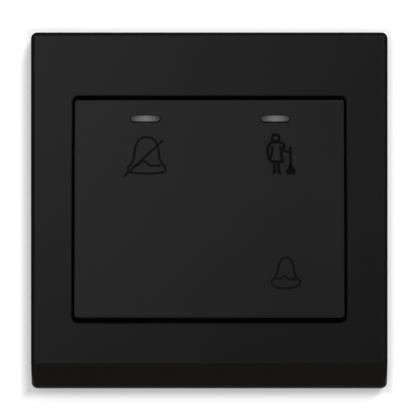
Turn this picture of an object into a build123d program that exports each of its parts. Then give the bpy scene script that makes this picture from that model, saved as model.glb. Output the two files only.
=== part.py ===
from build123d import *
from math import cos, pi, radians, sin
import os

# Doorbell push panel, in mm: X right, Y into the wall, Z up, wall plane at Y = 0

# Small hidden round pieces have this many flat sides, and a tip no finer than this
FACETS = 12
TIP_R = 0.05

# Front frame
PLATE_SIDE = 86.0
SIDE_BAR = 10.0
TOP_BAR = 15.35
FOOT_BAR = 16.05
PLATE_FRONT = -8.5
PLATE_REAR = -0.2
PLATE_CORNER = 1.5
PLATE_EDGE = 1.0
PLATE_WALL = 2.0
CHIN_HEIGHT = 6.3
CHIN_SETBACK = 2.2
CHIN_INSIDE_DROP = 0.57
CHIN_ROOM = 4.0
OPENING_CORNER = 1.5
OPENING_EDGE = 0.3
SKIRT_WALL = 1.4
SKIRT_REAR = -5.65
CAVITY_CORNER = 0.8
RIB_THICK = 1.2
RIB_OFFSET = 14.0
RIB_GAP = 0.1
PRY_WIDTH = 10.0
PRY_DEPTH = 1.4

# Push plate
SIDE_GAP = 0.5
END_GAP = 1.05
BUTTON_CORNER = 0.8
BUTTON_EDGE = 0.35
BUTTON_WALL = 1.8
BUTTON_RIM = 1.2
BUTTON_RIM_REAR = -4.5
STIFFENER_THICK = 1.0
STIFFENER_DEPTH = 1.5
REST_TILT = 1.7
PRESS_ANGLE = 3.0

# Pivot of the push plate
PIVOT_Y = -4.6
PIVOT_DROP = 8.1
TRUNNION_R = 1.5
TRUNNION_PLAY = 0.06
LUG_WALL = 1.8
LUG_R = 3.0
EAR_R = 1.9
HOOK_X = 20.0
HOOK_WIDTH = 5.0
HOOK_REACH = 1.2
HOOK_THICK = 1.2
HOOK_GAP = 0.05

# Lamp windows
LENS_INSET = 7.75
LENS_DROP = 4.3
LENS_SHIFT = 0.25
LENS_LENGTH = 7.0
LENS_HEIGHT = 1.5
LENS_PROUD = 0.1
LENS_GAP = 0.15
LENS_SAG = 0.25
LENS_RIM = 1.0
LENS_FLANGE = 0.8
LENS_REAR = -3.9
TAIL_LENGTH = 3.8
TAIL_HEIGHT = 3.0

# Mounting base
BASE_PLAY = 1.8
BASE_CORNER = 2.0
BASE_FRONT = -2.0
LIP_DEPTH = 1.0
LIP_OVERLAP = 2.5
RIM_WALL = 1.6
RIM_FRONT = -4.6
FIXING_CENTRES = 60.3
SLOT_WIDTH = 4.4
SLOT_LENGTH = 6.6
SLOT_RECESS = 0.8
WASHER_ROOM = 3.8
TAB_WALL = 0.9
ARROW_HALF = 2.2
ARROW_HEIGHT = 3.2

# Frame clips
CLIP_X = 24.0
CLIP_WIDTH = 6.0
CLIP_THICK = 1.2
CLIP_BARB = 0.8
CLIP_LEDGE = 0.8
CLIP_ROOT = 3.8
CLIP_GAP = 0.2
CLIP_SLOT = 0.3

# Rear housing
LUG_ROOM = 5.15
BOX_MARGIN = 15.0
HOUSING_CORNER = 3.0
HOUSING_WALL = 1.6
HOUSING_EDGE = 1.0
HOUSING_REAR = 24.0
WINDOW_GAP = 0.2
SCREW_INSET = 2.2
SCREW_R = 1.0
SCREW_HEAD_R = 2.0
SCREW_LENGTH = 9.0
POST_DEPTH = 12.0
VENT_WIDTH = 1.4
VENT_FRONT = 9.0
VENT_REAR = 19.0

# Switch cover
COVER_REAR = 0.6
COVER_GAP = 0.1
GUIDE_REAR = 3.0
GUIDE_WALL = 1.7
SHROUD_FRONT = -3.2
SHROUD_REAR = 2.0
SHROUD_BORE_R = 2.1
SHROUD_WALL = 0.7
PROP_R = 1.1
PROP_INSET = 1.8

# Circuit board
BOARD_INSET = 4.6
BOARD_HEIGHT = 19.0
BOARD_GAP = 0.4
BOARD_FRONT = 4.0
BOARD_THICK = 1.6
SHELF_OVERLAP = 0.7
LAMP_R = 1.5
LAMP_FLANGE_R = 1.9
LAMP_FLANGE = 1.0
LAMP_LEGS = 1.27
PART_X = 6.0
LEAD_R = 0.28
RESISTOR_DROP = 4.1
RESISTOR_LENGTH = 6.4
RESISTOR_R = 1.15
RESISTOR_LEGS = 4.8
RESISTOR_LIFT = 1.4
DIODE_DROP = 9.1
DIODE_LENGTH = 4.2
DIODE_R = 1.0
DIODE_LEGS = 3.8
DIODE_LIFT = 1.2
SOLDER_R = 0.85
SOLDER_HEIGHT = 0.9

# Bell switch
NOSE_ARM = 20.0
NOSE_R = 1.2
NOSE_WIDTH = 4.0
PLUNGER_R = 2.5
PLUNGER_PLAY = 0.06
TOUCH_GAP = 0.05
COLLAR_R = 3.8
COLLAR_THICK = 1.0
YOKE_WIDTH = 4.4
YOKE_WALL = 0.9
YOKE_TAIL = 2.3
BRIDGE_FRONT = 5.6
BRIDGE_THICK = 0.6
BRIDGE_END = 3.0
BRIDGE_HEIGHT = 4.6
RIVET_R = 1.5
RIVET_TAIL_R = 1.2
RIVET_SHANK_R = 0.8
RIVET_HEAD = 0.6
RIVET_PLAY = 0.03
CLOSED_GAP = 0.02
CONTACT_THICK = 0.8
SPRING_R = 1.9
WIRE_R = 0.2
SPRING_TURNS = 6
SPRING_STEPS = 8
SPRING_REAR = 17.5
SPIGOT_R = 1.2
SPIGOT_LENGTH = 2.5
TOWER_HALF = 2.6

# Terminals
TERMINAL_WALL = 2.5
TERMINAL_DEPTH = 8.0
TERMINAL_HEIGHT = 7.2
TERMINAL_EDGE = 0.4
WIRE_BORE_R = 1.75
WIRE_DEPTH = 5.2
CLAMP_R = 1.45
CLAMP_PLAY = 0.05
CLAMP_LENGTH = 4.4
CLAMP_SLOT_HALF = 0.3
CLAMP_SLOT_DEPTH = 0.9
ENTRY_R = 2.3
DRIVER_R = 2.2
STRIP_THICK = 0.6

# Derived places
OPENING_WIDTH = PLATE_SIDE - 2 * SIDE_BAR
OPENING_HEIGHT = PLATE_SIDE - TOP_BAR - FOOT_BAR
BUTTON_RISE = (FOOT_BAR - TOP_BAR) / 2
BUTTON_WIDTH = OPENING_WIDTH - 2 * SIDE_GAP
BUTTON_HEIGHT = OPENING_HEIGHT - 2 * END_GAP
FRAME_INSIDE = PLATE_FRONT + PLATE_WALL
BUTTON_BACK = PLATE_FRONT + BUTTON_WALL
BASE_SIDE = PLATE_SIDE - 2 * (PLATE_WALL + BASE_PLAY)
HOUSING_WIDTH = FIXING_CENTRES - 2 * LUG_ROOM
HOUSING_HEIGHT = PLATE_SIDE - 2 * BOX_MARGIN
INNER_WIDTH = HOUSING_WIDTH - 2 * HOUSING_WALL
INNER_HEIGHT = HOUSING_HEIGHT - 2 * HOUSING_WALL
INNER_REAR = HOUSING_REAR - HOUSING_WALL
LIP_REAR = BASE_FRONT + LIP_DEPTH
SCREW_X = INNER_WIDTH / 2 - SCREW_INSET
SCREW_Z = INNER_HEIGHT / 2 - SCREW_INSET
CORNERS = [(x, z) for x in (-SCREW_X, SCREW_X) for z in (-SCREW_Z, SCREW_Z)]
LENS_X = INNER_WIDTH / 2 - LENS_INSET
LAMPS = [LENS_SHIFT - LENS_X, LENS_SHIFT + LENS_X]
LENS_Z = INNER_HEIGHT / 2 - LENS_DROP
PIVOT_Z = LENS_Z - PIVOT_DROP
BOARD_WIDTH = INNER_WIDTH - 2 * BOARD_INSET
BOARD_TOP = INNER_HEIGHT / 2 - BOARD_GAP
BOARD_LOW = BOARD_TOP - BOARD_HEIGHT
BOARD_REAR = BOARD_FRONT + BOARD_THICK
RESISTOR_Z = LENS_Z - RESISTOR_DROP
DIODE_Z = LENS_Z - DIODE_DROP
TERMINAL_PITCH = INNER_WIDTH / 5.2
TERMINAL_WIDTH = TERMINAL_PITCH - TERMINAL_WALL
TERMINAL_LOW = -INNER_HEIGHT / 2
TERMINAL_TOP = TERMINAL_LOW + TERMINAL_HEIGHT
TERMINAL_Z = TERMINAL_LOW + TERMINAL_HEIGHT / 2
TERMINALS = [TERMINAL_PITCH * place for place in (-2, -1, 0, 1, 2)]
WIRE_Y = INNER_REAR - WIRE_DEPTH
CONTACTS = [TERMINALS[2], TERMINALS[3]]
STRIP_WIDTH = TERMINAL_WIDTH - 2.9
CONTACT_WIDTH = TERMINAL_PITCH - YOKE_WIDTH - 0.8
SWITCH_X = TERMINAL_PITCH / 2
SWITCH_Z = PIVOT_Z - NOSE_ARM
TRAVEL = NOSE_ARM * sin(radians(PRESS_ANGLE))
PLUNGER_FRONT = PIVOT_Y + NOSE_R + TOUCH_GAP
COLLAR_FRONT = GUIDE_REAR + TOUCH_GAP
COLLAR_REAR = COLLAR_FRONT + COLLAR_THICK
BRIDGE_REAR = BRIDGE_FRONT + BRIDGE_THICK
BRIDGE_WIDTH = TERMINAL_PITCH + 2 * BRIDGE_END
YOKE_REAR = BRIDGE_REAR + YOKE_TAIL
FIXED_FRONT = BRIDGE_REAR + RIVET_HEAD + TRAVEL + CLOSED_GAP
CONTACT_FRONT = FIXED_FRONT + RIVET_HEAD
CONTACT_REAR = CONTACT_FRONT + CONTACT_THICK


def slab(outline, front, rear, x=0.0, z=0.0):
    """An outline seen from the front, made solid between two depths."""
    plane = Plane.XZ.offset(-rear)
    return extrude(plane * Pos(x, z) * outline, rear - front)


def block(x0, x1, y0, y1, z0, z1):
    """A plain block between two corners."""
    middle = Pos((x0 + x1) / 2, (y0 + y1) / 2, (z0 + z1) / 2)
    return middle * Box(x1 - x0, y1 - y0, z1 - z0)


def turned(points, place, turn):
    """A body of revolution from radius and height pairs, turned from +Z and placed."""
    face = make_face(Plane.XZ * Polyline(*points, close=True))
    return Pos(*place) * turn * revolve(face, Axis.Z)


def boss(radius):
    """A many-sided peg outline that stays inside its circle."""
    return RegularPolygon(radius, FACETS)


def bore(radius):
    """A many-sided hole outline that clears its circle."""
    return RegularPolygon(radius, FACETS, major_radius=False)


def closed(outlines):
    """A solid from the corner lists of its flat faces."""
    return Solid(Shell([Face(Wire.make_polygon(outline, close=True)) for outline in outlines]))


def faceted(points, place, turn):
    """A small turned piece with flat sides, from radius and height pairs."""
    angles = [2 * pi * k / FACETS for k in range(FACETS)]
    rings = []
    for radius, height in points:
        r = max(radius, TIP_R)
        rings.append([(r * cos(a), r * sin(a), height) for a in angles])
    outlines = [rings[0], rings[-1]]
    for low, high in zip(rings, rings[1:]):
        for k in range(FACETS):
            following = (k + 1) % FACETS
            outlines.append([low[k], low[following], high[following], high[k]])
    return Pos(*place) * turn * closed(outlines)


def tilted(shape):
    """A shape of the push plate, swung to its rest angle about the pivot."""
    back = Pos(0, PIVOT_Y, PIVOT_Z) * Rot(X=-REST_TILT)
    return back * Pos(0, -PIVOT_Y, -PIVOT_Z) * shape


def along_x(radius, x0, x1, y, z):
    """A round bar along X."""
    return Pos((x0 + x1) / 2, y, z) * Rot(Y=90) * Cylinder(radius, x1 - x0)


def save(name, solids):
    """Write one piece, or a group of like pieces, to its own file."""
    group = solids if isinstance(solids, list) else [solids]
    body = Compound(children=[s for g in group for s in g.solids()])
    export_step(body, f"parts/{name}.step")


INTO_WALL = Rot(X=-90)
OUT_OF_WALL = Rot(X=90)


# Front frame

def chin_wedge(front, slope_top):
    """The space in front of a sloping chin."""
    low = -PLATE_SIDE / 2 - 2
    drop = slope_top - low
    lean = CHIN_SETBACK / CHIN_HEIGHT
    corners = [(front, slope_top), (front + drop * lean, low)]
    corners += [(front - CHIN_ROOM, low), (front - CHIN_ROOM, slope_top)]
    side = make_face(Plane.YZ * Polyline(*corners, close=True))
    return extrude(side, PLATE_SIDE, both=True)


def frame_cavity():
    """The hollow behind the front wall, with the same slope as the chin."""
    inner = PLATE_SIDE - 2 * PLATE_WALL
    hollow = slab(RectangleRounded(inner, inner, CAVITY_CORNER), FRAME_INSIDE, -PLATE_REAR)
    slope_top = -PLATE_SIDE / 2 + CHIN_HEIGHT - CHIN_INSIDE_DROP
    return hollow - chin_wedge(FRAME_INSIDE, slope_top)


def locating_ribs():
    """Eight ribs that centre the frame on the base and rest on its rim."""
    wall = PLATE_SIDE / 2 - PLATE_WALL
    over_rim = BASE_SIDE / 2 - RIM_WALL
    beside = BASE_SIDE / 2 + RIB_GAP
    step = RIM_FRONT - RIB_GAP
    half = RIB_THICK / 2
    rib = block(over_rim, wall, FRAME_INSIDE, step, -half, half)
    rib += block(beside, wall, step, PLATE_REAR - 0.6, -half, half)
    ribs = Part()
    for quarter in range(4):
        for offset in (-RIB_OFFSET, RIB_OFFSET):
            ribs += Rot(Y=90 * quarter) * Pos(0, 0, offset) * rib
    return ribs


def opening_edges(body):
    """The front edges of the opening."""
    edges = []
    for edge in body.edges():
        middle = edge.center()
        across = abs(middle.X) < OPENING_WIDTH / 2 + 0.1
        upright = abs(middle.Z - BUTTON_RISE) < OPENING_HEIGHT / 2 + 0.1
        if across and upright and abs(middle.Y - PLATE_FRONT) < 0.01:
            edges.append(edge)
    return edges


def front_frame():
    """The square frame with its opening, bearing lugs and ribs."""
    low = -PLATE_SIDE / 2
    body = slab(RectangleRounded(PLATE_SIDE, PLATE_SIDE, PLATE_CORNER), PLATE_FRONT, PLATE_REAR)
    body -= chin_wedge(PLATE_FRONT, low + CHIN_HEIGHT)
    slope_end = PLATE_FRONT + CHIN_SETBACK
    rims = []
    for edge in body.edges():
        y = edge.center().Y
        z = edge.center().Z
        crease = abs(z - (low + CHIN_HEIGHT)) < 0.1 and y < PLATE_FRONT + 0.1
        if y < slope_end + 0.2 and not crease and edge.length > 0.5:
            standing = abs((edge @ 0).Y - (edge @ 1).Y) > CHIN_SETBACK + 0.5
            if not standing:
                rims.append(edge)
    body = fillet(rims, PLATE_EDGE)
    body -= frame_cavity()
    opening = RectangleRounded(OPENING_WIDTH, OPENING_HEIGHT, OPENING_CORNER)
    around = RectangleRounded(
        OPENING_WIDTH + 2 * SKIRT_WALL,
        OPENING_HEIGHT + 2 * SKIRT_WALL,
        OPENING_CORNER + SKIRT_WALL,
    )
    body += slab(around, FRAME_INSIDE, SKIRT_REAR, 0, BUTTON_RISE)
    body -= slab(opening, PLATE_FRONT - 1, 0, 0, BUTTON_RISE)
    body = chamfer(opening_edges(body), OPENING_EDGE)
    lug_x = OPENING_WIDTH / 2
    for side in (-1, 1):
        x0 = min(side * lug_x, side * (lug_x + LUG_WALL))
        x1 = x0 + LUG_WALL
        lug = block(x0, x1, FRAME_INSIDE, PIVOT_Y, PIVOT_Z - LUG_R, PIVOT_Z + LUG_R)
        round_end = along_x(LUG_R, x0, x1, PIVOT_Y, PIVOT_Z)
        flat = BASE_FRONT - 0.4
        round_end -= block(x0 - 1, x1 + 1, flat, flat + LUG_R, PIVOT_Z - LUG_R, PIVOT_Z + LUG_R)
        body += lug + round_end
    reach = OPENING_WIDTH / 2 + LUG_WALL + 1
    hole = along_x(TRUNNION_R + TRUNNION_PLAY, -reach, reach, PIVOT_Y, PIVOT_Z)
    body -= hole
    body += locating_ribs()
    half = PRY_WIDTH / 2
    body -= block(-half, half, PLATE_REAR - PRY_DEPTH, 1, low - 1, low + PLATE_WALL + 1)
    return body


def snap_hooks():
    """Four clips on the inside of the frame, hooked behind the base."""
    wall = PLATE_SIDE / 2 - PLATE_WALL
    inner = BASE_SIDE / 2 + CLIP_GAP
    outer = inner + CLIP_THICK
    tip = inner - CLIP_BARB
    ledge = BASE_FRONT + CLIP_LEDGE
    end = PLATE_REAR - 0.3
    root = ledge - CLIP_ROOT
    outline = [(root, wall), (root + CLIP_THICK, wall), (root + 1.5 * CLIP_THICK, outer), (end, outer)]
    outline += [(end, inner - 0.3), (end - 0.3, tip), (ledge, tip), (ledge, inner), (root, inner)]
    side = make_face(Plane.YZ * Polyline(*outline, close=True))
    hook = extrude(side, CLIP_WIDTH / 2, both=True)
    hooks = []
    for x in (-CLIP_X, CLIP_X):
        hooks.append(Pos(x, 0, 0) * hook)
        hooks.append(Pos(x, 0, 0) * Rot(Y=180) * hook)
    return hooks


# Push plate

def button_ribs():
    """Crossed stiffening ribs on the back of the push plate."""
    rear = BUTTON_BACK + STIFFENER_DEPTH
    half_x = BUTTON_WIDTH / 2 - BUTTON_RIM
    half_z = BUTTON_HEIGHT / 2 - BUTTON_RIM
    half = STIFFENER_THICK / 2
    ribs = Part()
    for place in (-3, -1, 3):
        x = BUTTON_WIDTH * place / 8
        ribs += block(x - half, x + half, BUTTON_BACK, rear, BUTTON_RISE - half_z, BUTTON_RISE + half_z)
    for place in (-3, 1):
        z = BUTTON_RISE + BUTTON_HEIGHT * place / 10
        ribs += block(-half_x, half_x, BUTTON_BACK, rear, z - half, z + half)
    return ribs


def button_hooks():
    """Two hooks at the lower edge that stop the plate behind the skirt."""
    rise = BUTTON_RISE - BUTTON_HEIGHT / 2
    arm = SKIRT_REAR + HOOK_GAP
    reach = PIVOT_Z - (rise - END_GAP - HOOK_REACH)
    front = arm + reach * sin(radians(REST_TILT))
    rear = front + HOOK_THICK
    hooks = Part()
    for x in (-HOOK_X, HOOK_X):
        x0 = x - HOOK_WIDTH / 2
        x1 = x + HOOK_WIDTH / 2
        hooks += block(x0, x1, PLATE_FRONT + 1, rear, rise, rise + BUTTON_RIM + 0.6)
        hooks += block(x0, x1, front, rear, rise - END_GAP - HOOK_REACH, rise + 1)
    return hooks


def press_nose():
    """The rounded rib that bears on the plunger."""
    y = PIVOT_Y + NOSE_ARM * sin(radians(REST_TILT))
    z = PIVOT_Z - NOSE_ARM * cos(radians(REST_TILT))
    x0 = SWITCH_X - NOSE_WIDTH / 2
    x1 = SWITCH_X + NOSE_WIDTH / 2
    rib = block(x0, x1, PLATE_FRONT + 1, y, z - NOSE_R, z + NOSE_R)
    return rib + along_x(NOSE_R, x0, x1, y, z)


def bell_button():
    """The push plate with its rim, trunnions, ribs, nose and windows."""
    outline = RectangleRounded(BUTTON_WIDTH, BUTTON_HEIGHT, BUTTON_CORNER)
    plate = slab(outline, PLATE_FRONT, BUTTON_RIM_REAR, 0, BUTTON_RISE)
    front_edges = plate.faces().sort_by(Axis.Y)[0].edges()
    plate = fillet(front_edges, BUTTON_EDGE)
    hollow = Rectangle(BUTTON_WIDTH - 2 * BUTTON_RIM, BUTTON_HEIGHT - 2 * BUTTON_RIM)
    plate -= slab(hollow, BUTTON_BACK, 0, 0, BUTTON_RISE)
    plate += button_ribs()
    window = SlotOverall(LENS_LENGTH + 2 * LENS_GAP, LENS_HEIGHT + 2 * LENS_GAP + LENS_SAG)
    room = 2 * LENS_RIM + 1.0
    around = Rectangle(LENS_LENGTH + room, LENS_HEIGHT + room)
    for x in LAMPS:
        plate -= slab(around, BUTTON_BACK, 0, x, LENS_Z)
        plate -= slab(window, PLATE_FRONT - 1, 0, x, LENS_Z - LENS_SAG / 2)
    plate += button_hooks()
    plate += press_nose()
    half = BUTTON_WIDTH / 2
    for side in (-1, 1):
        x0 = min(side * half, side * (half - BUTTON_RIM))
        ear = along_x(EAR_R, x0, x0 + BUTTON_RIM, PIVOT_Y, PIVOT_Z)
        plate += ear
        end = side * (half + SIDE_GAP + LUG_WALL - 0.4)
        x0 = min(side * (half - 0.6), end)
        x1 = max(side * (half - 0.6), end)
        plate += along_x(TRUNNION_R, x0, x1, PIVOT_Y, PIVOT_Z)
    return tilted(plate)


def lens(x):
    """A light guide: oblong window, flange behind the plate, tapered tail."""
    window = SlotOverall(LENS_LENGTH, LENS_HEIGHT)
    guide = slab(window, PLATE_FRONT - LENS_PROUD, BUTTON_BACK, x, LENS_Z)
    rim = guide.faces().sort_by(Axis.Y)[0].edges()
    guide = chamfer(rim, 0.8 * LENS_PROUD)
    flange = Rectangle(LENS_LENGTH + 2 * LENS_RIM, LENS_HEIGHT + 2 * LENS_RIM)
    root = BUTTON_BACK + LENS_FLANGE
    guide += slab(flange, BUTTON_BACK, root, x, LENS_Z)
    thick = Rectangle(LENS_LENGTH - LENS_RIM, LENS_HEIGHT + LENS_RIM)
    start = Plane.XZ.offset(-root) * Pos(x, LENS_Z) * thick
    end = Plane.XZ.offset(-LENS_REAR) * Pos(x, LENS_Z) * Rectangle(TAIL_LENGTH, TAIL_HEIGHT)
    guide += loft([start, end], ruled=True)
    return tilted(guide)


# Mounting base

def lip_window():
    """The front window of the base, narrowed by four screw tabs."""
    across = HOUSING_WIDTH - 2 * LIP_OVERLAP
    upright = HOUSING_HEIGHT - 2 * LIP_OVERLAP
    window = slab(RectangleRounded(across, upright, LIP_OVERLAP), BASE_FRONT - 1, 1)
    for x, z in CORNERS:
        window -= slab(boss(SCREW_HEAD_R + TAB_WALL), BASE_FRONT - 1, 1, x, z)
    return window


def mounting_base():
    """The plate against the wall, with rim, window, screw slots and ledges."""
    outline = RectangleRounded(BASE_SIDE, BASE_SIDE, BASE_CORNER)
    inner = BASE_SIDE - 2 * RIM_WALL
    base = slab(outline, RIM_FRONT, 0)
    base -= slab(RectangleRounded(inner, inner, 1.0), RIM_FRONT - 1, BASE_FRONT)
    near = HOUSING_HEIGHT / 2 + 2.5
    for x in (-RIB_OFFSET, 0, RIB_OFFSET):
        for side in (-1, 1):
            z0 = min(side * near, side * inner / 2)
            z1 = max(side * near, side * inner / 2)
            base += block(x - 0.5, x + 0.5, BASE_FRONT - 1.2, BASE_FRONT, z0, z1)
    arrow = Polyline((-ARROW_HALF, 0), (ARROW_HALF, 0), (0, ARROW_HEIGHT), close=True)
    base += slab(make_face(arrow), BASE_FRONT - 0.4, BASE_FRONT, RIB_OFFSET / 2, near + 1)
    base -= lip_window()
    window = RectangleRounded(
        HOUSING_WIDTH + 2 * WINDOW_GAP,
        HOUSING_HEIGHT + 2 * WINDOW_GAP,
        HOUSING_CORNER + WINDOW_GAP,
    )
    base -= slab(window, LIP_REAR, 1)
    for side in (-1, 1):
        x = side * FIXING_CENTRES / 2
        base -= slab(SlotOverall(SLOT_LENGTH, SLOT_WIDTH), BASE_FRONT - 1, 1, x, 0)
        recess = RectangleRounded(SLOT_LENGTH + WASHER_ROOM, SLOT_WIDTH + 1.2 * WASHER_ROOM, 1.5)
        middle = x + side * WASHER_ROOM / 4
        base -= slab(recess, BASE_FRONT - 1, BASE_FRONT + SLOT_RECESS, middle, 0)
    cone = [(SCREW_HEAD_R, -0.1), (SCREW_HEAD_R, 0), (SCREW_R, LIP_DEPTH), (SCREW_R, LIP_DEPTH + 1)]
    for x, z in CORNERS:
        base -= faceted(cone, (x, BASE_FRONT, z), INTO_WALL)
    for x in (-CLIP_X, CLIP_X):
        for side in (-1, 1):
            edge = side * BASE_SIDE / 2
            deep = side * (BASE_SIDE / 2 - CLIP_BARB - CLIP_SLOT)
            z0 = min(edge * 1.1, deep)
            z1 = max(edge * 1.1, deep)
            half = CLIP_WIDTH / 2 + 2 * CLIP_SLOT
            base -= block(x - half, x + half, BASE_FRONT + CLIP_LEDGE - 0.1, 1, z0, z1)
    return base


# Rear housing

def contact_tower():
    """The pillar block that carries the fixed contacts and the spring."""
    low = SWITCH_Z - TOWER_HALF
    top = SWITCH_Z + TOWER_HALF
    tower = block(CONTACTS[0], CONTACTS[1], SPRING_REAR, INNER_REAR + 0.5, low, top)
    for x in CONTACTS:
        half = CONTACT_WIDTH / 2
        tower += block(x - half, x + half, CONTACT_REAR, INNER_REAR + 0.5, low, top)
        tower -= slab(bore(RIVET_TAIL_R + 0.3), CONTACT_REAR - 1, CONTACT_REAR + RIVET_HEAD, x, SWITCH_Z)
    tower += slab(boss(SPIGOT_R), SPRING_REAR - SPIGOT_LENGTH, SPRING_REAR, SWITCH_X, SWITCH_Z)
    return tower


def terminal_walls():
    """Partitions between the terminal blocks."""
    walls = Part()
    thick = TERMINAL_WALL - 0.5
    front = INNER_REAR - TERMINAL_DEPTH - 1.0
    for place in (-2.5, -1.5, -0.5, 0.5, 1.5, 2.5):
        x = TERMINAL_PITCH * place
        x0 = max(x - thick / 2, -INNER_WIDTH / 2 - 0.3)
        x1 = min(x + thick / 2, INNER_WIDTH / 2 + 0.3)
        walls += block(x0, x1, front, INNER_REAR + 0.5, TERMINAL_LOW - 0.5, TERMINAL_TOP)
    return walls


def rear_housing():
    """The box that goes into the wall box."""
    outline = RectangleRounded(HOUSING_WIDTH, HOUSING_HEIGHT, HOUSING_CORNER)
    shell = slab(outline, LIP_REAR, HOUSING_REAR)
    rear_edges = shell.faces().sort_by(Axis.Y)[-1].edges()
    shell = chamfer(rear_edges, HOUSING_EDGE)
    inner = RectangleRounded(INNER_WIDTH, INNER_HEIGHT, HOUSING_CORNER - HOUSING_WALL)
    shell -= slab(inner, LIP_REAR - 1, INNER_REAR)
    for x, z in CORNERS:
        half = SCREW_INSET
        corner = block(x - half, x + half, COVER_REAR, POST_DEPTH, z - half, z + half)
        shell += corner & slab(outline, LIP_REAR, INNER_REAR)
        shell -= slab(bore(SCREW_R + 0.02), COVER_REAR - 1, POST_DEPTH - 1, x, z)
    for side in (-1, 1):
        inner_end = side * (BOARD_WIDTH / 2 - SHELF_OVERLAP)
        wall_end = side * (INNER_WIDTH / 2 + 0.3)
        x0 = min(inner_end, wall_end)
        x1 = max(inner_end, wall_end)
        z0 = BOARD_LOW + BOARD_HEIGHT / 4
        z1 = BOARD_TOP - BOARD_HEIGHT / 3
        shell += block(x0, x1, BOARD_REAR, BOARD_REAR + 2, z0, z1)
    shell += contact_tower()
    shell += terminal_walls()
    for x in TERMINALS:
        entry = Pos(x, WIRE_Y, TERMINAL_LOW - 2 * HOUSING_WALL) * bore(ENTRY_R)
        shell -= extrude(entry, 3 * HOUSING_WALL)
        shell -= slab(bore(DRIVER_R), INNER_REAR - 0.5, HOUSING_REAR + 1, x, TERMINAL_Z)
    top = HOUSING_HEIGHT / 2
    half = VENT_WIDTH / 2
    for place in (-2.5, -1.5, -0.5, 0.5, 1.5, 2.5):
        x = place * HOUSING_WIDTH / 10
        shell -= block(x - half, x + half, VENT_FRONT, VENT_REAR, top - 3, top + 3)
    return shell


def switch_cover():
    """The plate in the mouth of the housing, with guide, shrouds and posts."""
    outline = RectangleRounded(
        INNER_WIDTH - 2 * COVER_GAP,
        INNER_HEIGHT - 2 * COVER_GAP,
        HOUSING_CORNER - HOUSING_WALL,
    )
    plate = slab(outline, LIP_REAR, COVER_REAR)
    for step in (5.4, 10.4):
        z = -INNER_HEIGHT / 2 + step
        reach = INNER_WIDTH / 3
        plate += block(-reach, reach, LIP_REAR - 0.8, LIP_REAR, z - 0.5, z + 0.5)
    plate += slab(boss(PLUNGER_R + GUIDE_WALL), LIP_REAR, GUIDE_REAR, SWITCH_X, SWITCH_Z)
    for x in LAMPS:
        tube = boss(SHROUD_BORE_R + SHROUD_WALL)
        plate += slab(tube, SHROUD_FRONT, SHROUD_REAR, x, LENS_Z)
        plate -= slab(boss(SHROUD_BORE_R), SHROUD_FRONT - 1, BOARD_FRONT, x, LENS_Z)
    for side in (-1, 1):
        for x, z in ((0.32, BOARD_LOW + PROP_INSET), (0.22, BOARD_TOP - PROP_INSET)):
            plate += slab(boss(PROP_R), COVER_REAR, BOARD_FRONT, side * x * BOARD_WIDTH, z)
    guide = Circle(PLUNGER_R + PLUNGER_PLAY)
    plate -= slab(guide, LIP_REAR - 2, GUIDE_REAR + 1, SWITCH_X, SWITCH_Z)
    for x, z in CORNERS:
        plate -= slab(bore(SCREW_R + 0.2), LIP_REAR - 1, COVER_REAR + 1, x, z)
    return plate


def housing_screws():
    """Four countersunk screws with a cross recess."""
    outline = [(SCREW_HEAD_R, 0), (SCREW_R, LIP_DEPTH), (SCREW_R, SCREW_LENGTH), (0.3, SCREW_LENGTH + 1.4)]
    screws = []
    for x, z in CORNERS:
        screw = faceted(outline, (x, BASE_FRONT, z), INTO_WALL)
        screw -= block(x - 1.1, x + 1.1, BASE_FRONT - 1, BASE_FRONT + 0.7, z - 0.25, z + 0.25)
        screw -= block(x - 0.25, x + 0.25, BASE_FRONT - 1, BASE_FRONT + 0.7, z - 1.1, z + 1.1)
        screws.append(screw)
    return screws


# Lamp board

def circuit_board():
    """The small board between the upper screw posts."""
    middle = (BOARD_LOW + BOARD_TOP) / 2
    outline = RectangleRounded(BOARD_WIDTH, BOARD_HEIGHT, 0.8)
    return slab(outline, BOARD_FRONT, BOARD_REAR, 0, middle)


def lamp(x):
    """A small round lamp with a flange and a domed top."""
    r = LAMP_R
    rim = LAMP_FLANGE_R
    height = BOARD_FRONT - LIP_REAR
    outline = [(rim, 0), (rim, LAMP_FLANGE), (r, LAMP_FLANGE), (r, height - r)]
    for angle in (30, 60, 90):
        outline.append((r * cos(radians(angle)), height - r + r * sin(radians(angle))))
    body = faceted(outline, (x, BOARD_FRONT, LENS_Z), OUT_OF_WALL)
    flat = x + (r + rim) / 2
    return body - block(flat, x + 3, BOARD_FRONT - LAMP_FLANGE, BOARD_FRONT, LENS_Z - 2, LENS_Z + 2)


def lead(x0, x1, y, z):
    """A bent wire from the end of a component down to the board."""
    path = Polyline((x0, y, z), (x1, y, z), (x1, BOARD_FRONT, z))
    start = Plane(origin=(x0, y, z), z_dir=(x1 - x0, 0, 0))
    return sweep(start * RegularPolygon(LEAD_R, 6), path=path, transition=Transition.RIGHT)


def axial_pair(outline, length, legs, lift, z):
    """Two like components lying on the board with their leads."""
    pieces = []
    y = BOARD_FRONT - lift
    inside = length / 2 - LEAD_R
    for x in (-PART_X, PART_X):
        body = faceted(outline, (x - length / 2, y, z), Rot(Y=90))
        body += lead(x - inside, x - legs, y, z)
        body += lead(x + inside, x + legs, y, z)
        pieces.append(body)
    return pieces


def dropper_resistors():
    """Two resistors with the usual swollen ends."""
    r = RESISTOR_R
    length = RESISTOR_LENGTH
    half = [(0.6 * r, 0), (r, 0.45 * r), (r, 1.1 * r), (0.83 * r, 1.5 * r)]
    outline = half + [(radius, length - along) for radius, along in reversed(half)]
    return axial_pair(outline, length, RESISTOR_LEGS, RESISTOR_LIFT, RESISTOR_Z)


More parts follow.
